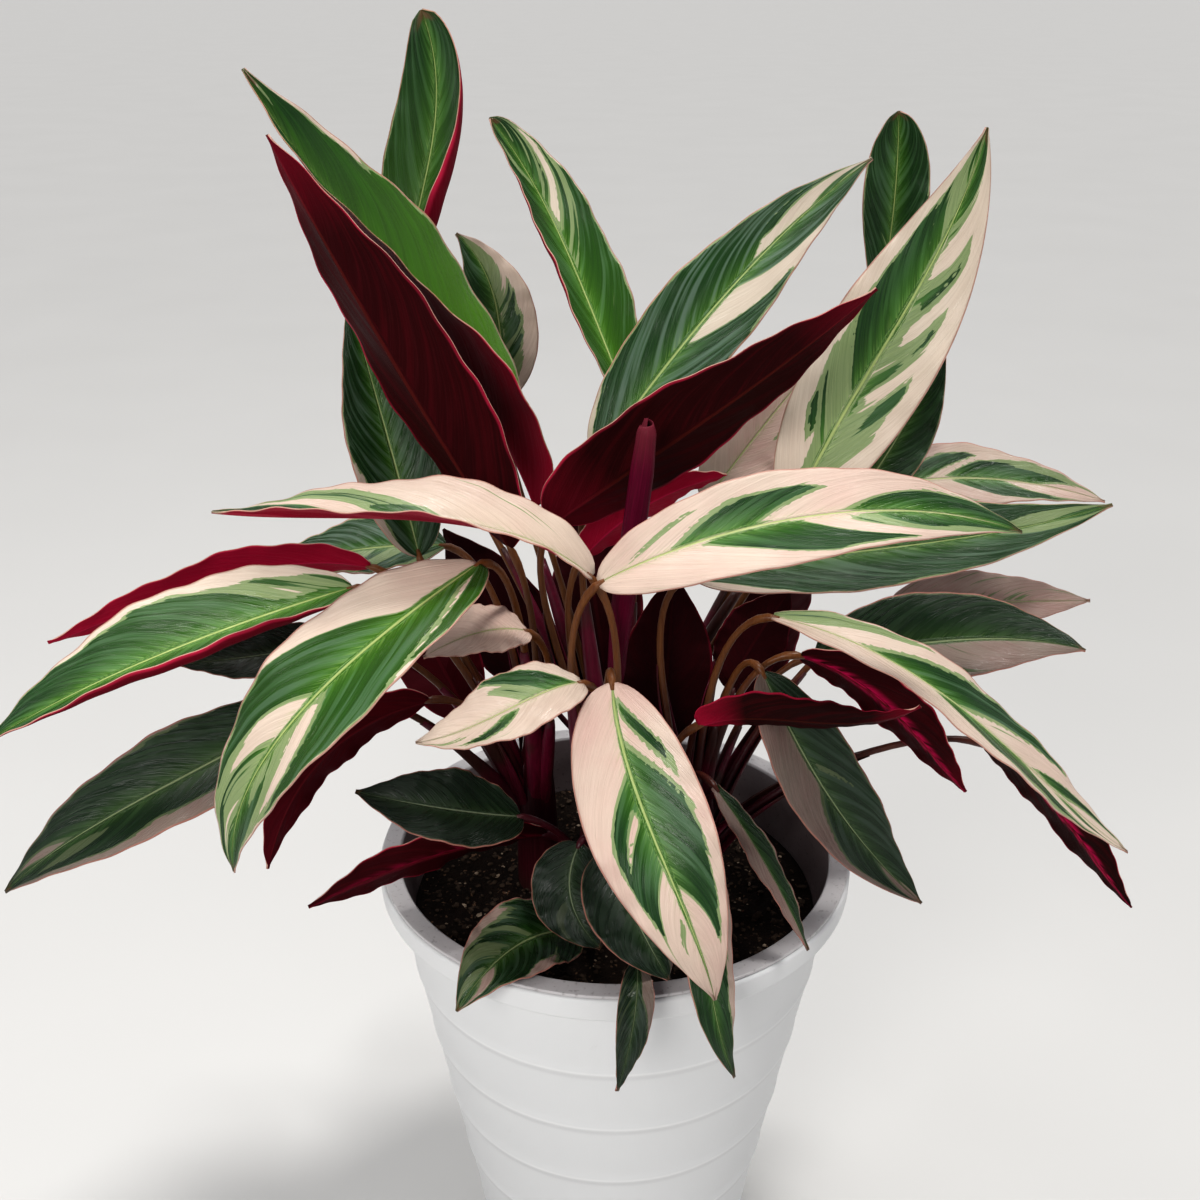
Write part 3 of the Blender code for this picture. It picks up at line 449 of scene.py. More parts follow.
class Paint:
    """The node tree of one material, with short names for the nodes that it uses."""

    def __init__(self, name):
        self.material = bpy.data.materials.new(name)
        self.material.use_nodes = True
        self.tree = self.material.node_tree
        self.shader = self.tree.nodes["Principled BSDF"]

    def put(self, socket, value):
        if isinstance(value, bpy.types.NodeSocket):
            self.tree.links.new(value, socket)
        elif isinstance(value, tuple) and len(value) == 3 and socket.type == "RGBA":
            socket.default_value = (*value, 1)
        else:
            socket.default_value = value

    def set(self, name, value):
        self.put(self.shader.inputs[name], value)

    def attribute(self, name):
        node = self.tree.nodes.new("ShaderNodeAttribute")
        node.attribute_name = name
        return node.outputs["Fac"]

    def place(self):
        return self.tree.nodes.new("ShaderNodeTexCoord").outputs["Object"]

    def split(self, vector):
        node = self.tree.nodes.new("ShaderNodeSeparateXYZ")
        self.put(node.inputs[0], vector)
        return node.outputs

    def join(self, x, y, z):
        node = self.tree.nodes.new("ShaderNodeCombineXYZ")
        for socket, value in zip(node.inputs, (x, y, z)):
            self.put(socket, value)
        return node.outputs[0]

    def math(self, operation, a, b=0.0):
        node = self.tree.nodes.new("ShaderNodeMath")
        node.operation = operation
        self.put(node.inputs[0], a)
        self.put(node.inputs[1], b)
        return node.outputs[0]

    def times(self, a, b):
        return self.math("MULTIPLY", a, b)

    def plus(self, a, b):
        return self.math("ADD", a, b)

    def minus(self, a, b):
        return self.math("SUBTRACT", a, b)

    def ramp(self, value, low, high, to_low=0.0, to_high=1.0):
        node = self.tree.nodes.new("ShaderNodeMapRange")
        node.interpolation_type = "SMOOTHSTEP"
        for socket, given in zip(node.inputs, (value, low, high, to_low, to_high)):
            self.put(socket, given)
        return node.outputs[0]

    def mix(self, share, a, b):
        node = self.tree.nodes.new("ShaderNodeMix")
        node.data_type = "RGBA"
        self.put(node.inputs[0], share)
        self.put(node.inputs[6], a)
        self.put(node.inputs[7], b)
        return node.outputs[2]

    def noise(self, vector, scale, detail=2.0, roughness=0.5):
        node = self.tree.nodes.new("ShaderNodeTexNoise")
        self.put(node.inputs["Vector"], vector)
        self.put(node.inputs["Scale"], scale)
        self.put(node.inputs["Detail"], detail)
        self.put(node.inputs["Roughness"], roughness)
        return node.outputs["Fac"]

    def veined(self, vein, count, apart, shift, detail, roughness=0.5):
        """Streaks along the side veins, about this many to a midrib. apart and shift vary them."""
        return self.noise(self.join(self.times(vein, count), apart, shift), 1.0, detail, roughness)

    def upright(self, across, along, detail, roughness=0.5):
        """Streaks that run upwards."""
        x, y, z = self.split(self.place())
        stretched = self.join(self.times(x, across), self.times(y, across), self.times(z, along))
        return self.noise(stretched, 1.0, detail, roughness)

    def height(self):
        return self.split(self.place())[2]

    def bump(self, height, distance, strength=1.0, normal=None):
        node = self.tree.nodes.new("ShaderNodeBump")
        self.put(node.inputs["Height"], height)
        self.put(node.inputs["Distance"], distance)
        self.put(node.inputs["Strength"], strength)
        if normal:
            self.put(node.inputs["Normal"], normal)
        return node.outputs[0]

    def finish(self, colour, uneven, smoothest, roughest, normal, specular=0.5):
        """Sets the shader's colour, a roughness that varies with uneven, its normal and specular level."""
        self.set("Base Color", colour)
        self.set("Roughness", self.ramp(uneven, 0.3, 0.7, smoothest, roughest))
        self.set("Normal", normal)
        self.shader.inputs["Specular IOR Level"].default_value = specular
        return self.material


def leaf_pattern(paint):
    """The values that both sides of a leaf are coloured from."""
    across = paint.attribute("across")
    vein = paint.attribute("vein")
    apart = paint.plus(paint.times(paint.attribute("side"), 3.7), paint.attribute("seed"))
    wander = paint.times(across, 1.1)
    broad = paint.veined(vein, 9.0, apart, wander, 1.0)
    fine = paint.veined(vein, 38.0, apart, wander, 2.0, 0.6)
    streak = paint.plus(paint.times(broad, 0.55), paint.times(fine, 0.45))
    stray = paint.times(paint.minus(streak, 0.5), 2.6)
    field = paint.plus(stray, paint.attribute("tone"))
    return across, vein, apart, field


def upper_side():
    paint = Paint("leaf upper side")
    across, vein, apart, field = leaf_pattern(paint)
    cream = paint.ramp(field, 1.42, 1.50)
    patch = paint.veined(vein, 7.0, apart, 4.0, 2.0)
    lowered = paint.minus(field, paint.ramp(patch, 0.46, 0.56, 0.0, 0.5))
    silver = paint.ramp(lowered, 0.60, 0.68)
    fibre = paint.veined(vein, 150.0, apart, across, 3.0, 0.7)
    bands = paint.veined(vein, 26.0, apart, across, 2.0)
    cloud = paint.noise(paint.place(), 22.0, 3.0)
    green = paint.mix(cloud, (0.003, 0.018, 0.006), (0.010, 0.058, 0.007))
    green = paint.mix(paint.ramp(bands, 0.46, 0.62, 0.0, 0.55), green, (0.022, 0.108, 0.008))
    green = paint.mix(paint.ramp(fibre, 0.35, 0.75, 0.0, 0.32), green, (0.040, 0.140, 0.016))
    glow = paint.times(paint.ramp(across, 0.0, 0.50, 0.6, 0.0), paint.ramp(bands, 0.3, 0.7, 0.4, 1.0))
    green = paint.mix(glow, green, (0.085, 0.255, 0.014))
    # Painted backlight: lit turns the green yellow where light shines through, most near the stalk.
    green = paint.mix(paint.attribute("lit"), green, (0.130, 0.330, 0.006))
    # grey veils the green in grey-green and in painted sheen, patchy along the side veins.
    grey_and_painted_sheen = paint.times(paint.attribute("grey"), paint.ramp(bands, 0.48, 0.66, 0.0, 1.0))
    green = paint.mix(grey_and_painted_sheen, green, (0.150, 0.215, 0.175))
    sage = paint.mix(fibre, (0.13, 0.21, 0.08), (0.36, 0.43, 0.21))
    colour = paint.mix(silver, green, sage)
    blush = paint.times(paint.attribute("pink"), paint.ramp(cloud, 0.3, 0.7, 0.6, 1.25))
    pale = paint.mix(blush, (0.73, 0.64, 0.52), (0.66, 0.42, 0.37))
    pale = paint.mix(paint.ramp(fibre, 0.40, 0.72, 0.0, 0.42), pale, (0.50, 0.38, 0.30))
    pale = paint.mix(paint.ramp(bands, 0.50, 0.66, 0.0, 0.25), pale, (0.62, 0.50, 0.40))
    colour = paint.mix(cream, colour, pale)
    # Painted shade: shade darkens the leaf, and dims its pale midrib and feathering with it.
    shade = paint.attribute("shade")
    colour = paint.mix(shade, (0.003, 0.007, 0.004), colour)
    widening = paint.plus(paint.times(vein, 1.3), 0.6)
    rib = paint.ramp(paint.times(across, widening), 0.012, 0.032, 1.0, 0.0)
    feather = paint.times(paint.ramp(across, 0.02, 0.22, 1.0, 0.0), paint.ramp(fibre, 0.45, 0.65))
    pale_green = paint.mix(shade, (0.060, 0.080, 0.060), (0.33, 0.50, 0.14))
    colour = paint.mix(paint.times(feather, 0.45), colour, pale_green)
    rib_green = paint.mix(shade, (0.14, 0.17, 0.12), (0.46, 0.55, 0.20))
    colour = paint.mix(paint.times(rib, 0.85), colour, rib_green)
    edge = paint.ramp(across, 0.966, 0.985)
    colour = paint.mix(paint.times(edge, 0.7), colour, (0.42, 0.16, 0.12))
    swept = paint.times(across, paint.plus(paint.times(across, VEIN_BEND), VEIN_SWEEP))
    to_tip = paint.plus(paint.plus(vein, swept), paint.times(patch, 0.05))
    withered = paint.ramp(to_tip, 1.006, 1.016, 0.0, 0.85)
    withered = paint.times(withered, paint.ramp(across, 0.25, 0.75, 1.0, 0.1))
    colour = paint.mix(withered, colour, paint.mix(fibre, (0.055, 0.020, 0.009), (0.21, 0.105, 0.045)))
    groove = paint.ramp(across, 0.0, 0.05, 0.0, 1.0)
    height = paint.plus(paint.times(fibre, 0.5), paint.times(bands, 0.6))
    height = paint.plus(height, paint.times(groove, 0.8))
    return paint.finish(colour, bands, 0.20, 0.38, paint.bump(height, 0.0008, 0.9), 0.34)


def underside():
    paint = Paint("leaf underside")
    across, vein, apart, field = leaf_pattern(paint)
    light = paint.ramp(field, 0.7, 1.5)
    fibre = paint.veined(vein, 120.0, apart, across, 3.0, 0.7)
    bands = paint.veined(vein, 20.0, apart, across, 2.0)
    cloud = paint.noise(paint.place(), 14.0, 3.0)
    # glow is painted light shining through the leaf: it turns the maroon crimson and the pale parts warm
    # red.
    glow = paint.attribute("glow")
    maroon = paint.mix(cloud, (0.007, 0.0006, 0.0006), (0.022, 0.0014, 0.0015))
    maroon = paint.mix(paint.ramp(bands, 0.46, 0.66, 0.0, 0.5), maroon, (0.055, 0.0028, 0.0050))
    stripe = paint.times(paint.ramp(across, 0.0, 0.30, 1.0, 0.0), paint.ramp(bands, 0.35, 0.6))
    maroon = paint.mix(paint.times(stripe, paint.attribute("stripe")), maroon, (0.62, 0.007, 0.100))
    crimson = paint.mix(cloud, (0.24, 0.002, 0.020), (0.50, 0.006, 0.050))
    colour = paint.mix(glow, maroon, crimson)
    warm = paint.mix(glow, (0.060, 0.006, 0.008), (0.62, 0.07, 0.12))
    colour = paint.mix(paint.times(light, 0.5), colour, warm)
    colour = paint.mix(paint.ramp(fibre, 0.45, 0.8, 0.0, 0.35), colour, warm)
    rib = paint.ramp(across, 0.022, 0.050, 1.0, 0.0)
    rib_red = paint.mix(glow, (0.080, 0.012, 0.006), (0.65, 0.02, 0.10))
    colour = paint.mix(paint.times(rib, 0.6), colour, rib_red)
    # Painted backlight: a patchy bright red rim along the margins.
    edge = paint.ramp(across, 0.93, 0.98)
    colour = paint.mix(paint.times(edge, paint.ramp(cloud, 0.38, 0.62, 0.15, 0.9)), colour,
                       (0.55, 0.020, 0.070))
    # Painted shade: shade darkens the underside of leaves deep in the clump.
    colour = paint.mix(paint.attribute("shade"), (0.006, 0.0008, 0.0010), colour)
    height = paint.plus(fibre, paint.times(bands, 0.7))
    return paint.finish(colour, bands, 0.52, 0.70, paint.bump(height, 0.0005, 0.7), 0.06)


def stalk_skin():
    """Red-brown to olive stalks with fine streaks along them, redder low down and darker there with painted
    shade.
    """
    paint = Paint("leaf stalks")
    z = paint.height()
    streaks = paint.upright(900.0, 14.0, 2.0)
    cloud = paint.noise(paint.place(), 30.0, 3.0)
    # Painted shade: below about half a metre the stalks are darker as well as redder, as deep in the clump.
    high = paint.ramp(paint.plus(z, paint.times(cloud, 0.10)), 0.44, 0.54)
    low = paint.mix(streaks, (0.018, 0.002, 0.004), (0.075, 0.006, 0.014))
    top = paint.mix(streaks, (0.075, 0.018, 0.007), (0.19, 0.075, 0.018))
    colour = paint.mix(high, low, top)
    foot = paint.ramp(z, SOIL_TOP, 0.325, 1.0, 0.0)
    colour = paint.mix(paint.times(foot, 0.7), colour, (0.030, 0.014, 0.010))
    return paint.finish(colour, streaks, 0.30, 0.48, paint.bump(streaks, 0.0003, 0.6), 0.3)


def sheath_skin():
    """Magenta wraps, duller in patches, and brown at the soil."""
    paint = Paint("stalk sheaths")
    streaks = paint.upright(700.0, 12.0, 3.0, 0.6)
    cloud = paint.noise(paint.place(), 26.0, 2.0)
    magenta = paint.mix(streaks, (0.028, 0.001, 0.006), (0.200, 0.005, 0.038))
    dull = paint.mix(streaks, (0.016, 0.004, 0.004), (0.075, 0.020, 0.014))
    colour = paint.mix(paint.ramp(cloud, 0.42, 0.60), magenta, dull)
    foot = paint.ramp(paint.height(), SOIL_TOP, 0.335, 1.0, 0.0)
    colour = paint.mix(paint.times(foot, 0.75), colour, (0.050, 0.026, 0.018))
    return paint.finish(colour, streaks, 0.34, 0.5, paint.bump(streaks, 0.0003, 0.7), 0.3)


def rolled_skin():
    paint = Paint("rolled leaf")
    across = paint.attribute("across")
    along = paint.attribute("vein")
    fibre = paint.noise(paint.join(paint.times(across, 60.0), paint.times(along, 5.0), 2.0), 1.0, 3.0, 0.6)
    colour = paint.mix(fibre, (0.024, 0.0006, 0.005), (0.150, 0.003, 0.032))
    tip = paint.ramp(along, 0.80, 1.0)
    colour = paint.mix(paint.times(tip, 0.25), colour, (0.26, 0.06, 0.06))
    return paint.finish(colour, fibre, 0.30, 0.46, paint.bump(fibre, 0.0006, 0.9), 0.07)


def planter_plastic():
    paint = Paint("matte white planter")
    grain = paint.noise(paint.place(), 900.0, 2.0)
    marks = paint.noise(paint.place(), 7.0, 4.0, 0.6)
    scuffs = paint.ramp(paint.noise(paint.place(), 60.0, 5.0, 0.7), 0.62, 0.78)
    colour = paint.mix(marks, (0.63, 0.635, 0.64), (0.71, 0.715, 0.72))
    colour = paint.mix(paint.times(scuffs, 0.14), colour, (0.44, 0.43, 0.42))
    height = paint.height()
    below_rings = RING_TOP - (RING_COUNT - 0.5) * RING_PITCH
    count = paint.math("DIVIDE", paint.minus(height, below_rings), RING_PITCH)
    off_ring = paint.minus(paint.math("FRACT", count), 0.5)
    # Painted highlight along each ring's crest and painted shadow just under it, below the lip only.
    below_lip = paint.ramp(height, RING_TOP + 0.020, RING_TOP + 0.022, 1.0, 0.0)
    ring_highlight = paint.ramp(paint.math("ABSOLUTE", off_ring), 0.0, 0.035, 0.32, 0.0)
    colour = paint.mix(paint.times(ring_highlight, below_lip), colour, (0.86, 0.86, 0.86))
    ring_shadow = paint.ramp(paint.math("ABSOLUTE", paint.plus(off_ring, 0.07)), 0.0, 0.07, 0.22, 0.0)
    colour = paint.mix(paint.times(ring_shadow, below_lip), colour, (0.42, 0.42, 0.43))
    return paint.finish(colour, marks, 0.42, 0.54, paint.bump(grain, 0.00012, 0.5))


def liner_plastic():
    """Silver-grey on the lip; the inner wall is dark with painted shade, dusty and with specks of soil."""
    paint = Paint("grey inner pot")
    z = paint.height()
    specks = paint.ramp(paint.noise(paint.place(), 420.0, 3.0, 0.65), 0.60, 0.66)
    dust = paint.noise(paint.place(), 38.0, 4.0, 0.6)
    # Painted shade: the inner wall is much darker than the lip.
    inside = paint.ramp(z, 0.3385, 0.3400, 1.0, 0.0)
    lip = paint.mix(dust, (0.42, 0.405, 0.41), (0.56, 0.545, 0.55))
    wall = paint.mix(dust, (0.085, 0.060, 0.062), (0.17, 0.14, 0.142))
    colour = paint.mix(inside, lip, wall)
    dirt = paint.times(specks, paint.ramp(z, SOIL_TOP, 0.341, 1.0, 0.25))
    colour = paint.mix(dirt, colour, (0.035, 0.022, 0.018))
    return paint.finish(colour, dust, 0.28, 0.42, paint.bump(specks, 0.0004, 0.6))


def potting_mix():
    paint = Paint("potting mix")
    coarse = paint.noise(paint.place(), 160.0, 4.0, 0.65)
    fine = paint.noise(paint.place(), 700.0, 3.0, 0.7)
    colour = paint.mix(coarse, (0.0025, 0.0015, 0.0012), (0.020, 0.011, 0.007))
    flecks = paint.ramp(paint.noise(paint.place(), 260.0, 2.0), 0.64, 0.70)
    colour = paint.mix(paint.times(flecks, 0.6), colour, (0.20, 0.12, 0.075))
    rough = paint.bump(coarse, 0.005, 1.0)
    return paint.finish(colour, fine, 0.70, 0.95, paint.bump(fine, 0.0015, 0.9, rough), 0.12)


def crumbs_of_soil():
    paint = Paint("soil crumbs")
    tone = paint.attribute("tone")
    fine = paint.noise(paint.place(), 900.0, 3.0, 0.7)
    dark = paint.mix(fine, (0.005, 0.003, 0.002), (0.040, 0.021, 0.012))
    light = paint.mix(fine, (0.24, 0.15, 0.09), (0.56, 0.48, 0.38))
    return paint.finish(paint.mix(tone, dark, light), fine, 0.65, 0.95, paint.bump(fine, 0.0006, 0.8), 0.15)


def direction(azimuth, elevation):
    a, e = math.radians(azimuth), math.radians(elevation)
    return Vector((math.cos(e) * math.cos(a), math.cos(e) * math.sin(a), math.sin(e)))


def along(points, t):
    """A smooth curve through the points, which lie at shares of the length between them."""
    lengths = [0.0]
    for a, b in zip(points, points[1:]):
        lengths.append(lengths[-1] + (b - a).length)
    at = [length / lengths[-1] for length in lengths]
    place = Vector((0, 0, 0))
    for i, point in enumerate(points):
        share = 1.0
        for j, other in enumerate(at):
            if j != i:
                share *= (t - other) / (at[i] - other)
        place += point * share
    return place


def rib_frame(leaf, v):
    """The midrib's place, direction and upper side's normal, at v from 0 at the stalk to 1 at the tip."""
    points = [Vector(point) * CM for point in leaf.rib]
    place = along(points, v)
    tangent = (along(points, v + 0.01) - along(points, v - 0.01)).normalized()
    face = direction(*leaf.face).lerp(direction(*(leaf.face_tip or leaf.face)), v)
    normal = (face - tangent * face.dot(tangent)).normalized()
    return place, tangent, normal


def outline(leaf, v, blunt):
    """Half the blade's width: rounded at the base, and drawn out to the tip unless it is blunt."""
    peak = math.sin(math.pi * v ** (math.log(0.5) / math.log(leaf.belly)))
    power = 0.6 if v < leaf.belly else 0.9 - blunt
    least = BASE_HALF_WIDTH + (TIP_HALF_WIDTH - BASE_HALF_WIDTH) * v
    return max(least, leaf.width * CM / 2 * max(peak, 0) ** power)


def row_of_blade(leaf, v, columns, curl, blunt):
    """The blade's points across at v, from its left margin to its right one. curl turns up each margin,
    and blunt rounds off the tip."""
    place, tangent, normal = rib_frame(leaf, v)
    side = tangent.cross(normal)
    half = outline(leaf, v, blunt)
    rise = math.radians(leaf.fold)
    row = []
    for column in range(columns + 1):
        u = 2 * column / columns - 1
        phase = sum(map(ord, leaf.name)) * 0.7 + (1.7 if u > 0 else 0.0)
        turns = math.tau * leaf.waves * v
        ripple = leaf.wave * CM * u * u * math.sin(math.pi * v) * math.sin(turns + phase)
        frill = FRILL_HEIGHT * abs(u) ** 3 * math.sin(turns * 3.1 + 2 * phase)
        bend = math.sqrt(u * u + FOLD_SOFTNESS) - math.sqrt(FOLD_SOFTNESS)
        lift = half * bend * math.sin(rise) * (1.15 - 0.3 * abs(u)) + ripple + frill
        outer = max(0, (abs(u) - CURL_START) / (1 - CURL_START))
        roll = curl[1 if u > 0 else 0] * half * outer ** 2 * math.sin(math.pi * v) ** 0.5
        inward = math.copysign(0.34 * roll, u)
        row.append(place + side * (half * u * math.cos(rise) - inward) + normal * (lift + 0.5 * roll))
    return row


def side_vein(u, v):
    """Where on the midrib the side vein through this point leaves it. The veins sweep towards the tip."""
    return v - VEIN_SWEEP * abs(u) - VEIN_BEND * abs(u) ** 3


def tone_at(look, u, q):
    """How pale the blade is here, from green over sage to cream."""
    tone = look.tone[1 if u > 0 else 0]
    for half, low, high, near, far, other in look.sectors:
        if half * u > 0:
            inside = min(1, max(0, 0.5 + min(q - low, high - q) / 0.05))
            reach = min(1, max(0, 0.5 + min(abs(u) - near, far - abs(u)) / 0.12))
            tone += (other - tone) * inside * (reach if near > 0 else min(1, reach + 0.5))
    margin = min(1, max(0, 0.5 + (abs(u) - 1 + look.edge) / 0.05))
    return tone + (CREAM - tone) * margin


def leaf_blade(leaf, look, number, top, under):
    """A thin waved blade, cream and green above and maroon below, with a thick midrib on its underside."""
    length = (Vector(leaf.rib[-1]) - Vector(leaf.rib[0])).length * CM
    rows = LONG_ROWS if length > LONG_LEAF else SHORT_ROWS
    bm = bmesh.new()
    bmesh.ops.create_grid(bm, x_segments=COLUMNS, y_segments=rows, size=1)
    names = ("across", "vein", "side", "seed", "tone", "grey", "pink", "shade", "glow", "stripe", "lit")
    layers = {name: bm.verts.layers.float.new(name) for name in names}
    weights = bm.verts.layers.deform.verify()
    shape = [row_of_blade(leaf, row / rows, COLUMNS, look.curl, look.blunt) for row in range(rows + 1)]
    for vert in bm.verts:
        column = round((vert.co.x + 1) / 2 * COLUMNS)
        row = round((vert.co.y + 1) / 2 * rows)
        u, v = 2 * column / COLUMNS - 1, row / rows
        q = side_vein(u, v)
        # Painted light shining through the leaf: glow, raised at the base and the tip by ends.
        glow = look.glow + look.ends[0] * max(0, 1 - v / 0.22) + look.ends[1] * max(0, 1 - (1 - v) / 0.22)
        side = min(1, max(-1, u * 30))
        # Painted backlight, strongest near the stalk and gone towards the tip.
        lit = look.lit * max(0, min(1, 1.25 - 1.4 * v))
        values = (abs(u), q, side, number * 1.37, tone_at(look, u, q), look.grey, look.pink, look.shade,
                  min(1, glow), look.stripe, lit)
        for name, value in zip(names, values):
            vert[layers[name]] = value
        rib = math.exp(-((u * outline(leaf, v, look.blunt) / RIB_HALF_WIDTH) ** 2)) * (1 - 0.7 * v)
        vert[weights][0] = MARGIN_SHARE + (1 - MARGIN_SHARE) * rib
        vert.co = shape[row][column]
    obj = add_object("blade_" + leaf.name, bm)
    obj.vertex_groups.new(name="thickness")
    solid = obj.modifiers.new("blade", "SOLIDIFY")
    solid.thickness = RIB_THICKNESS
    solid.offset = -0.4
    solid.vertex_group = "thickness"
    solid.material_offset = 1
    obj.data.materials.append(top)
    obj.data.materials.append(under)
    apply_modifiers(obj)
    obj.data.shade_smooth()
    settle(obj, leaf.tint, leaf.name)


def tube(name, points, radii, sides):
    """A closed round stalk through the points, with a radius at each."""
    curve = bpy.data.curves.new(name, "CURVE")
    curve.dimensions = "3D"
    curve.bevel_depth = 1
    curve.bevel_resolution = sides // 2 - 2
    curve.use_fill_caps = True
    spline = curve.splines.new("POLY")
    spline.points.add(len(points) - 1)
    for spot, point, radius in zip(spline.points, points, radii):
        spot.co = (*point, 1)
        spot.radius = radius
    route = bpy.data.objects.new(name, curve)
    bm = bmesh.new()
    bm.from_mesh(route.to_mesh())
    bpy.data.objects.remove(route)
    bmesh.ops.remove_doubles(bm, verts=bm.verts, dist=1e-6)
    bmesh.ops.recalc_face_normals(bm, faces=bm.faces)
    return add_object(name, bm)


def stalk_line(leaf, steps):
    """The stalk's middle line: straight up out of its shoot, then curved into the line of the midrib."""
    place, tangent, _ = rib_frame(leaf, 0)
    x, y = SHOOTS[leaf.shoot]
    root = Vector((x * CM, y * CM, SOIL_TOP + 0.010))
    end = place + tangent * 0.004
    reach = (end - root).length * 0.35
    handles = root, root + Vector((0, 0, reach)), end - tangent * min(reach, 0.05), end
    points = []
    for step in range(steps + 1):
        t = step / steps
        weights = ((1 - t) ** 3, 3 * t * (1 - t) ** 2, 3 * t * t * (1 - t), t ** 3)
        points.append(sum((h * w for h, w in zip(handles, weights)), Vector((0, 0, 0))))
    return points


def stalk_radius(t):
    """Thick at the root, slender, then swollen where the stalk joins its blade."""
    swell = 0.0006 * math.exp(-(((t - 0.93) / 0.05) ** 2))
    taper = 1 - 0.45 * max(0, (t - 0.95) / 0.05) ** 2
    return (STALK_ROOT_RADIUS + (STALK_TOP_RADIUS - STALK_ROOT_RADIUS) * min(1, t * 1.3) + swell) * taper


def sheath(leaf, number, skin):
    """The thin wrap round the lower part of a stalk. It is wide and nearly closed at the root, opens on one
    side, and narrows to nothing higher up."""
    points = stalk_line(leaf, SHEATH_STEPS)
    draw = random.Random(number)
    opening = draw.uniform(0, math.tau)
    reach = draw.uniform(*SHEATH_REACH)
    bm = bmesh.new()
    bmesh.ops.create_grid(bm, x_segments=SHEATH_COLUMNS, y_segments=SHEATH_ROWS, size=1)
    for vert in bm.verts:
        u, v = vert.co.x, (vert.co.y + 1) / 2
        t = v * reach
        step = min(SHEATH_STEPS - 1, int(t * SHEATH_STEPS))
        start, end = points[step], points[step + 1]
        middle = start.lerp(end, t * SHEATH_STEPS - step)
        line = (end - start).normalized()
        side = line.orthogonal().normalized()
        if side.z < 0:
            side = -side
        spread = SHEATH_RISE * max(0, 1 - v) ** 0.7
        angle = opening + math.pi * u * (0.90 - 0.45 * v)
        radius = stalk_radius(t) * 0.9 + spread * (0.75 + 0.55 * abs(u) ** 3)
        turned_side = Matrix.Rotation(angle, 3, line) @ side
        vert.co = middle + turned_side * radius
    obj = add_object("sheath_" + leaf.name, bm)
    solid = obj.modifiers.new("wrap", "SOLIDIFY")
    solid.thickness = SHEATH_THICKNESS
    solid.offset = 1
    apply_modifiers(obj)
    obj.data.shade_smooth()
    settle(obj, "stalk", None, skin)


def shoot(name, x, y, skin):
    """A short stem of rolled sheaths, with every stalk that leaves it, as one body."""
    foot = Vector((x * CM, y * CM, SOIL_TOP - STEM_SUNK))
    points = [foot + Vector((0, 0, height)) for height, _ in STEM_SHAPE]
    stem = tube(name, points, [STEM_RADIUS * share for _, share in STEM_SHAPE], 16)
    stalks = bpy.data.collections.new(name)
    bpy.context.scene.collection.children.link(stalks)
    for leaf in (*LEAVES, SPEAR):
        if leaf.shoot == name.removeprefix("stalks_"):
            points = stalk_line(leaf, STALK_STEPS)
            radii = [stalk_radius(step / STALK_STEPS) for step in range(STALK_STEPS + 1)]
            stalk = tube("stalk", points, radii, 10)
            bpy.context.scene.collection.objects.unlink(stalk)
            stalks.objects.link(stalk)
    union = stem.modifiers.new("union", "BOOLEAN")
    union.operation = "UNION"
    union.operand_type = "COLLECTION"
    union.solver = "MANIFOLD"
    union.collection = stalks
    apply_modifiers(stem)
    for stalk in list(stalks.objects):
        bpy.data.objects.remove(stalk)
    bpy.data.collections.remove(stalks)
    stem.data.materials.clear()
    stem.data.shade_smooth()
    settle(stem, "stalk", "shoot_" + name.removeprefix("stalks_"), skin)


def rolled_leaf(skin):
    """The new leaf: a thin sheet rolled one and a third times round itself, blunt at its open end."""
    bm = bmesh.new()
    bmesh.ops.create_grid(bm, x_segments=SPEAR_COLUMNS, y_segments=SPEAR_ROWS, size=1)
    layers = {name: bm.verts.layers.float.new(name) for name in ("across", "vein")}
    for vert in bm.verts:
        u, v = (vert.co.x + 1) / 2, (vert.co.y + 1) / 2
        slant = min(1, max(0, v - 0.035 * u * max(0, v - 0.8) / 0.2))
        place, tangent, normal = rib_frame(SPEAR, slant)
        side = tangent.cross(normal)
        size = SPEAR.width * CM / 2 * spear_share(slant)
        turn = math.tau * SPEAR_TURNS * u + 2.4 - 0.7 * v
        radius = size * (0.74 + 0.28 * u)
        vert[layers["across"]] = u
        vert[layers["vein"]] = v
        vert.co = place + (side * math.cos(turn) + normal * math.sin(turn)) * radius
    obj = add_object("rolled_leaf", bm)
    solid = obj.modifiers.new("sheet", "SOLIDIFY")
    solid.thickness = SPEAR_SHEET
    solid.offset = -1
    apply_modifiers(obj)
    obj.data.shade_smooth()
    settle(obj, "rolled_leaf", "spear", skin)


def spear_share(v):
    """The rolled leaf's radius along it, as a share of its widest."""
    for (low, a), (high, b) in zip(SPEAR_SHAPE, SPEAR_SHAPE[1:]):
        if v <= high:
            t = (v - low) / (high - low)
            return a + (b - a) * t * t * (3 - 2 * t)
    return SPEAR_SHAPE[-1][1]


def turned(profile):
    """Spins a profile of (radius, height) points about Z."""
    bm = bmesh.new()
    points = [bm.verts.new((radius, 0, height)) for radius, height in profile]
    edges = [bm.edges.new(pair) for pair in zip(points, points[1:])]
    bmesh.ops.spin(bm, geom=points + edges, cent=(0, 0, 0), axis=(0, 0, 1), angle=math.tau, steps=TURN_STEPS,
                   use_merge=True)
    bmesh.ops.remove_doubles(bm, verts=bm.verts, dist=1e-6)
    bmesh.ops.recalc_face_normals(bm, faces=bm.faces)
    return bm


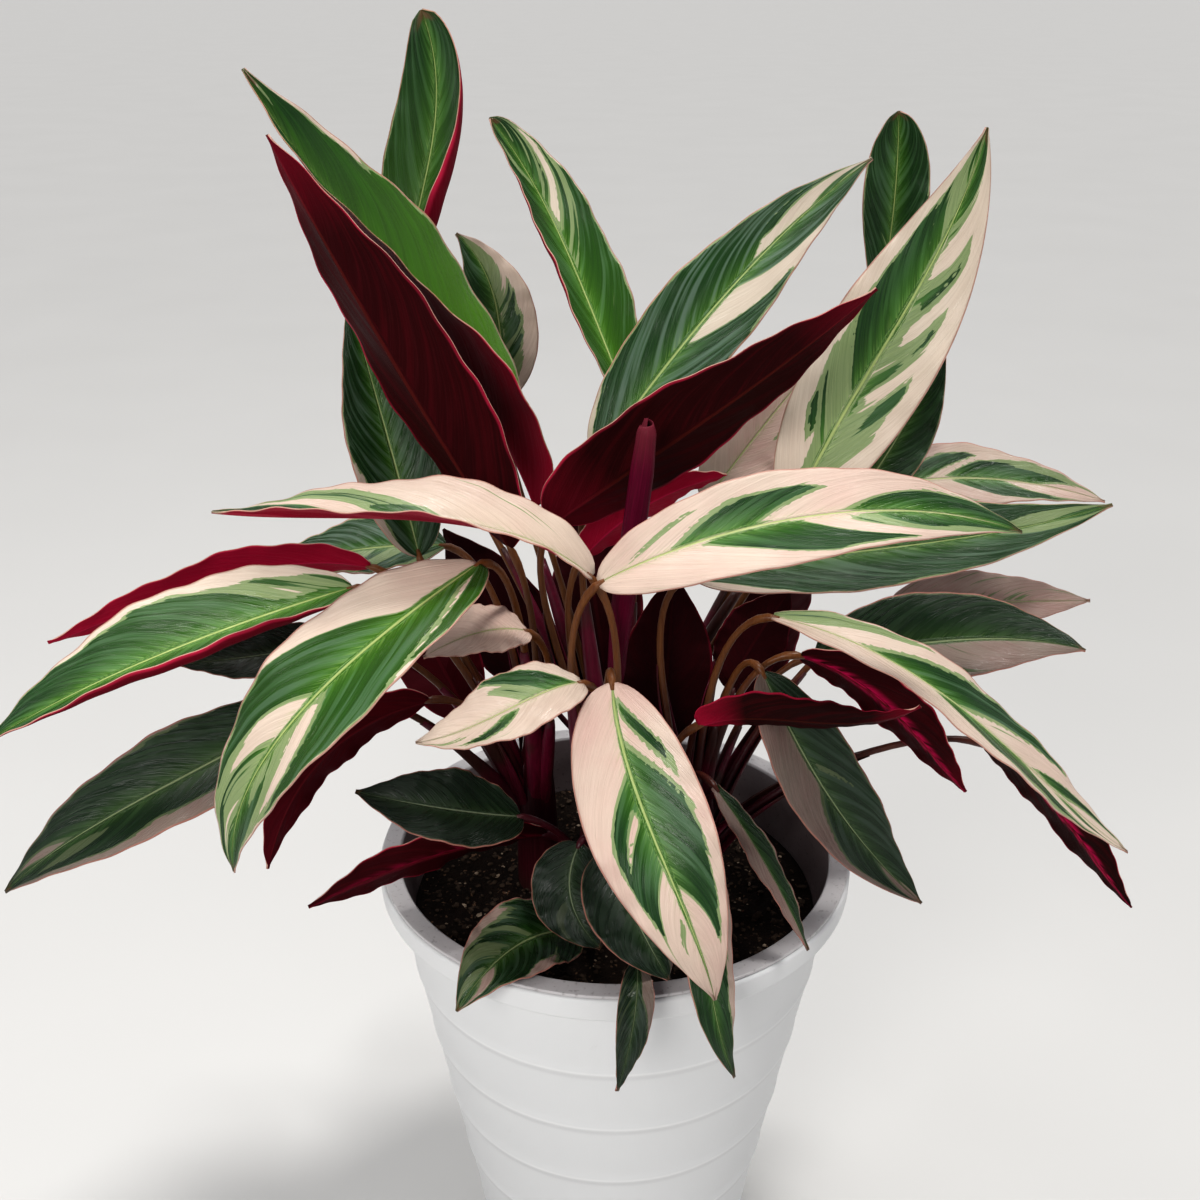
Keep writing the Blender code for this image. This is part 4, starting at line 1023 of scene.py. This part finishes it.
def rounded(a, corner, b, size, steps=5):
    """The points of a rounded corner between two neighbours, as (radius, height)."""
    a, corner, b = Vector(a), Vector(corner), Vector(b)
    start = corner + (a - corner).normalized() * size
    end = corner + (b - corner).normalized() * size
    points = []
    for step in range(steps + 1):
        t = step / steps
        points.append(tuple(start * (1 - t) ** 2 + corner * 2 * t * (1 - t) + end * t * t))
    return points


def planter_radius(height):
    """The plain taper of the planter's wall."""
    return PLANTER_BASE_RADIUS + (PLANTER_TOP_RADIUS - PLANTER_BASE_RADIUS) * height / PLANTER_HEIGHT


def liner_radius(height):
    """The inner pot's outside."""
    return planter_radius(height) - PLANTER_WALL - LINER_CLEARANCE


def planter(plastic):
    outside = [(0, 0), (PLANTER_BASE_RADIUS - 0.003, 0)]
    outside += rounded((0, 0), (PLANTER_BASE_RADIUS, 0), (planter_radius(0.01), 0.01), 0.003)
    lip_low = PLANTER_HEIGHT - PLANTER_LIP_DEPTH
    lowest = RING_TOP - (RING_COUNT - 1) * RING_PITCH
    for step in range(1, WALL_STEPS):
        height = WALL_START + (lip_low - WALL_START) * step / WALL_STEPS
        phase = (height - lowest) / RING_PITCH
        near = abs(phase - round(phase)) * RING_PITCH
        on_ring = 0 <= round(phase) < RING_COUNT
        rise = RING_RISE * math.exp(-((near / RING_HALF_WIDTH) ** 2)) if on_ring else 0
        outside.append((planter_radius(height) + rise, height))
    under = (planter_radius(lip_low), lip_low)
    outer_low = (PLANTER_LIP_RADIUS - 0.0004, lip_low + 0.0008)
    outer_high = (PLANTER_LIP_RADIUS, PLANTER_HEIGHT)
    inner_high = (planter_radius(PLANTER_HEIGHT) + 0.001, PLANTER_HEIGHT)
    outside += rounded(outside[-1], under, outer_low, 0.0012)
    outside += rounded(under, outer_low, outer_high, 0.0026)
    outside += rounded(outer_low, outer_high, inner_high, 0.0030, 7)
    inner_low = (planter_radius(lip_low) - PLANTER_WALL, lip_low)
    outside += rounded(outer_high, inner_high, inner_low, 0.0008)
    outside += [inner_low, (planter_radius(PLANTER_FLOOR) - PLANTER_WALL, PLANTER_FLOOR), (0, PLANTER_FLOOR)]
    obj = add_object("tapered_planter", turned(outside))
    obj.data.shade_smooth()
    obj.data.set_sharp_from_angle(angle=math.radians(50))
    settle(obj, "planter", "planter", plastic)


def inner_pot(plastic):
    flange_low = PLANTER_HEIGHT + GAP
    flange_top = flange_low + FLANGE_THICKNESS
    neck = flange_low - 0.02
    floor_top = LINER_FLOOR_Z + LINER_WALL
    rim_out = (FLANGE_OUTER_RADIUS, flange_top)
    rim_in = (liner_radius(flange_low) - LINER_WALL + 0.001, flange_top)
    wall_high = (liner_radius(flange_low) - LINER_WALL, flange_top - 0.0012)
    profile = [(0, LINER_FLOOR_Z), (liner_radius(LINER_FLOOR_Z), LINER_FLOOR_Z), (liner_radius(neck), neck),
               (liner_radius(flange_low), flange_low), (FLANGE_OUTER_RADIUS, flange_low)]
    profile += rounded(profile[-1], rim_out, rim_in, 0.0009)
    profile += rounded(rim_out, rim_in, wall_high, 0.0007)
    profile += [wall_high, (liner_radius(neck) - LINER_WALL, neck),
                (liner_radius(floor_top) - LINER_WALL, floor_top), (0, floor_top)]
    obj = add_object("inner_pot", turned(profile))
    obj.data.shade_smooth()
    obj.data.set_sharp_from_angle(angle=math.radians(40))
    settle(obj, "liner", "liner", plastic)


def soil_height(x, y, edge):
    """The soil's rough top: low mounds, clods and small crumbs."""
    spot = Vector((x, y, 0.3))
    share = min(1, math.hypot(x, y) / edge)
    clods = noise.noise(spot * 45) + 0.5 * noise.noise(spot * 110)
    crumbs = noise.noise(spot * 260) + 0.6 * noise.noise(spot * 520)
    return SOIL_TOP + 0.004 * clods + 0.0016 * crumbs * (1 - share ** 8) + 0.004 * (1 - share ** 2)


def soil(mix):
    bottom = LINER_FLOOR_Z + LINER_WALL + GAP
    space = LINER_WALL + SOIL_CLEARANCE
    edge = liner_radius(SOIL_TOP) - space
    profile = [(0, bottom), (liner_radius(bottom) - space, bottom), (edge, SOIL_TOP)]
    profile += [(edge * (SOIL_RINGS - step) / SOIL_RINGS, SOIL_TOP) for step in range(1, SOIL_RINGS)]
    profile.append((0, SOIL_TOP))
    bm = turned(profile)
    for vert in bm.verts:
        if vert.co.z > SOIL_TOP - 1e-4 and vert.co.xy.length < edge - 1e-4:
            vert.co.z = soil_height(vert.co.x, vert.co.y, edge)
    obj = add_object("potting_soil", bm)
    obj.data.shade_smooth()
    settle(obj, "soil", "soil", mix)
    return edge


def soil_crumbs(edge, material):
    """Loose crumbs on the soil: most are dark, and a few are pale grit and bits of bark."""
    draw = random.Random(7)
    bm = bmesh.new()
    tone = bm.verts.layers.float.new("tone")
    for _ in range(CRUMB_COUNT):
        angle = draw.uniform(0, math.tau)
        radius = (edge - 0.004) * math.sqrt(draw.random())
        size = draw.uniform(0.0007, 0.0024) * (1.4 if draw.random() < 0.12 else 1)
        pale = draw.random() < 0.17
        x, y = radius * math.cos(angle), radius * math.sin(angle)
        made = bmesh.ops.create_icosphere(bm, subdivisions=1, radius=size * (0.6 if pale else 1))
        sizes = draw.uniform(0.7, 1.5), draw.uniform(0.6, 1.1), draw.uniform(0.4, 0.8)
        stretch = Matrix.Diagonal((*sizes, 1))
        turn = Matrix.Rotation(draw.uniform(0, math.tau), 4, "Z")
        place = Matrix.Translation((x, y, soil_height(x, y, edge) + size * 0.15))
        bmesh.ops.transform(bm, matrix=place @ turn @ stretch, verts=made["verts"])
        for vert in made["verts"]:
            vert[tone] = draw.uniform(0.5, 1.0) if pale else draw.uniform(0, 0.12)
            vert.co += Vector((draw.uniform(-1, 1), draw.uniform(-1, 1), draw.uniform(-1, 1))) * size * 0.14
    obj = add_object("soil_crumbs", bm)
    settle(obj, "soil", None, material)


def floor():
    bm = bmesh.new()
    bmesh.ops.create_circle(bm, cap_ends=True, segments=96, radius=FLOOR_RADIUS)
    obj = add_object("floor", bm)
    paint = Paint("pale floor")
    soft = paint.noise(paint.place(), 3.0, 2.0)
    paint.set("Base Color", paint.mix(soft, (0.53, 0.525, 0.515), (0.56, 0.555, 0.545)))
    paint.shader.inputs["Roughness"].default_value = 0.6
    obj.data.materials.append(paint.material)


def area_light(name, place, size, power, colour):
    light = bpy.data.lights.new(name, "AREA")
    light.shape = "DISK"
    light.size = size
    light.energy = power
    light.color = colour
    obj = bpy.data.objects.new(name, light)
    obj.location = place
    obj.rotation_euler = (Vector(LIGHTS_AIM) - Vector(place)).to_track_quat("-Z", "Y").to_euler()
    bpy.context.scene.collection.objects.link(obj)


def sun(name, place, power, softness, colour):
    light = bpy.data.lights.new(name, "SUN")
    light.energy = power
    light.angle = math.radians(softness)
    light.color = colour
    obj = bpy.data.objects.new(name, light)
    obj.rotation_euler = Vector(place).to_track_quat("Z", "Y").to_euler()
    bpy.context.scene.collection.objects.link(obj)


def studio():
    """A soft sun from behind, a wide fill from the front, and a backdrop that is palest at the horizon."""
    bpy.context.scene.view_settings.view_transform = "Standard"
    bpy.context.scene.view_settings.look = "Medium High Contrast"
    world = bpy.data.worlds.new("studio")
    world.use_nodes = True
    nodes, links = world.node_tree.nodes, world.node_tree.links
    backdrop = nodes["Background"]
    backdrop.inputs["Color"].default_value = (0.96, 0.97, 1.0, 1)
    split = nodes.new("ShaderNodeSeparateXYZ")
    fade = nodes.new("ShaderNodeMapRange")
    for socket, value in zip(list(fade.inputs)[1:5], BACKDROP_HEIGHTS + BACKDROP_STRENGTHS):
        socket.default_value = value
    links.new(nodes.new("ShaderNodeTexCoord").outputs["Generated"], split.inputs[0])
    links.new(split.outputs[2], fade.inputs[0])
    links.new(fade.outputs[0], backdrop.inputs["Strength"])
    bpy.context.scene.world = world
    sun("window", SUN_FROM, SUN_POWER, SUN_SOFTNESS, (1.0, 0.985, 0.96))
    area_light("front_fill", FRONT_FILL_PLACE, 0.8, FRONT_FILL_POWER, (1.0, 0.98, 0.95))
    area_light("top", TOP_LIGHT_PLACE, 0.7, TOP_LIGHT_POWER, (1, 1, 1))


def camera():
    lens = bpy.data.cameras.new("camera")
    lens.lens = CAMERA_LENS
    lens.sensor_width = CAMERA_SENSOR
    obj = bpy.data.objects.new("camera", lens)
    obj.location = CAMERA_PLACE
    obj.rotation_euler = (math.radians(90 - CAMERA_TILT), 0, 0)
    bpy.context.scene.collection.objects.link(obj)
    bpy.context.scene.camera = obj


camera()
studio()
floor()
planter(planter_plastic())
inner_pot(liner_plastic())
soil_edge = soil(potting_mix())
soil_crumbs(soil_edge, crumbs_of_soil())
leaf_top = upper_side()
leaf_under = underside()
for leaf_number, one_leaf in enumerate(LEAVES):
    leaf_blade(one_leaf, LOOKS[one_leaf.name], leaf_number, leaf_top, leaf_under)
rolled_leaf(rolled_skin())
stalk_material = stalk_skin()
for shoot_name, (shoot_x, shoot_y) in SHOOTS.items():
    shoot("stalks_" + shoot_name, shoot_x, shoot_y, stalk_material)
sheath_material = sheath_skin()
for leaf_number, one_leaf in enumerate(LEAVES):
    sheath(one_leaf, leaf_number, sheath_material)
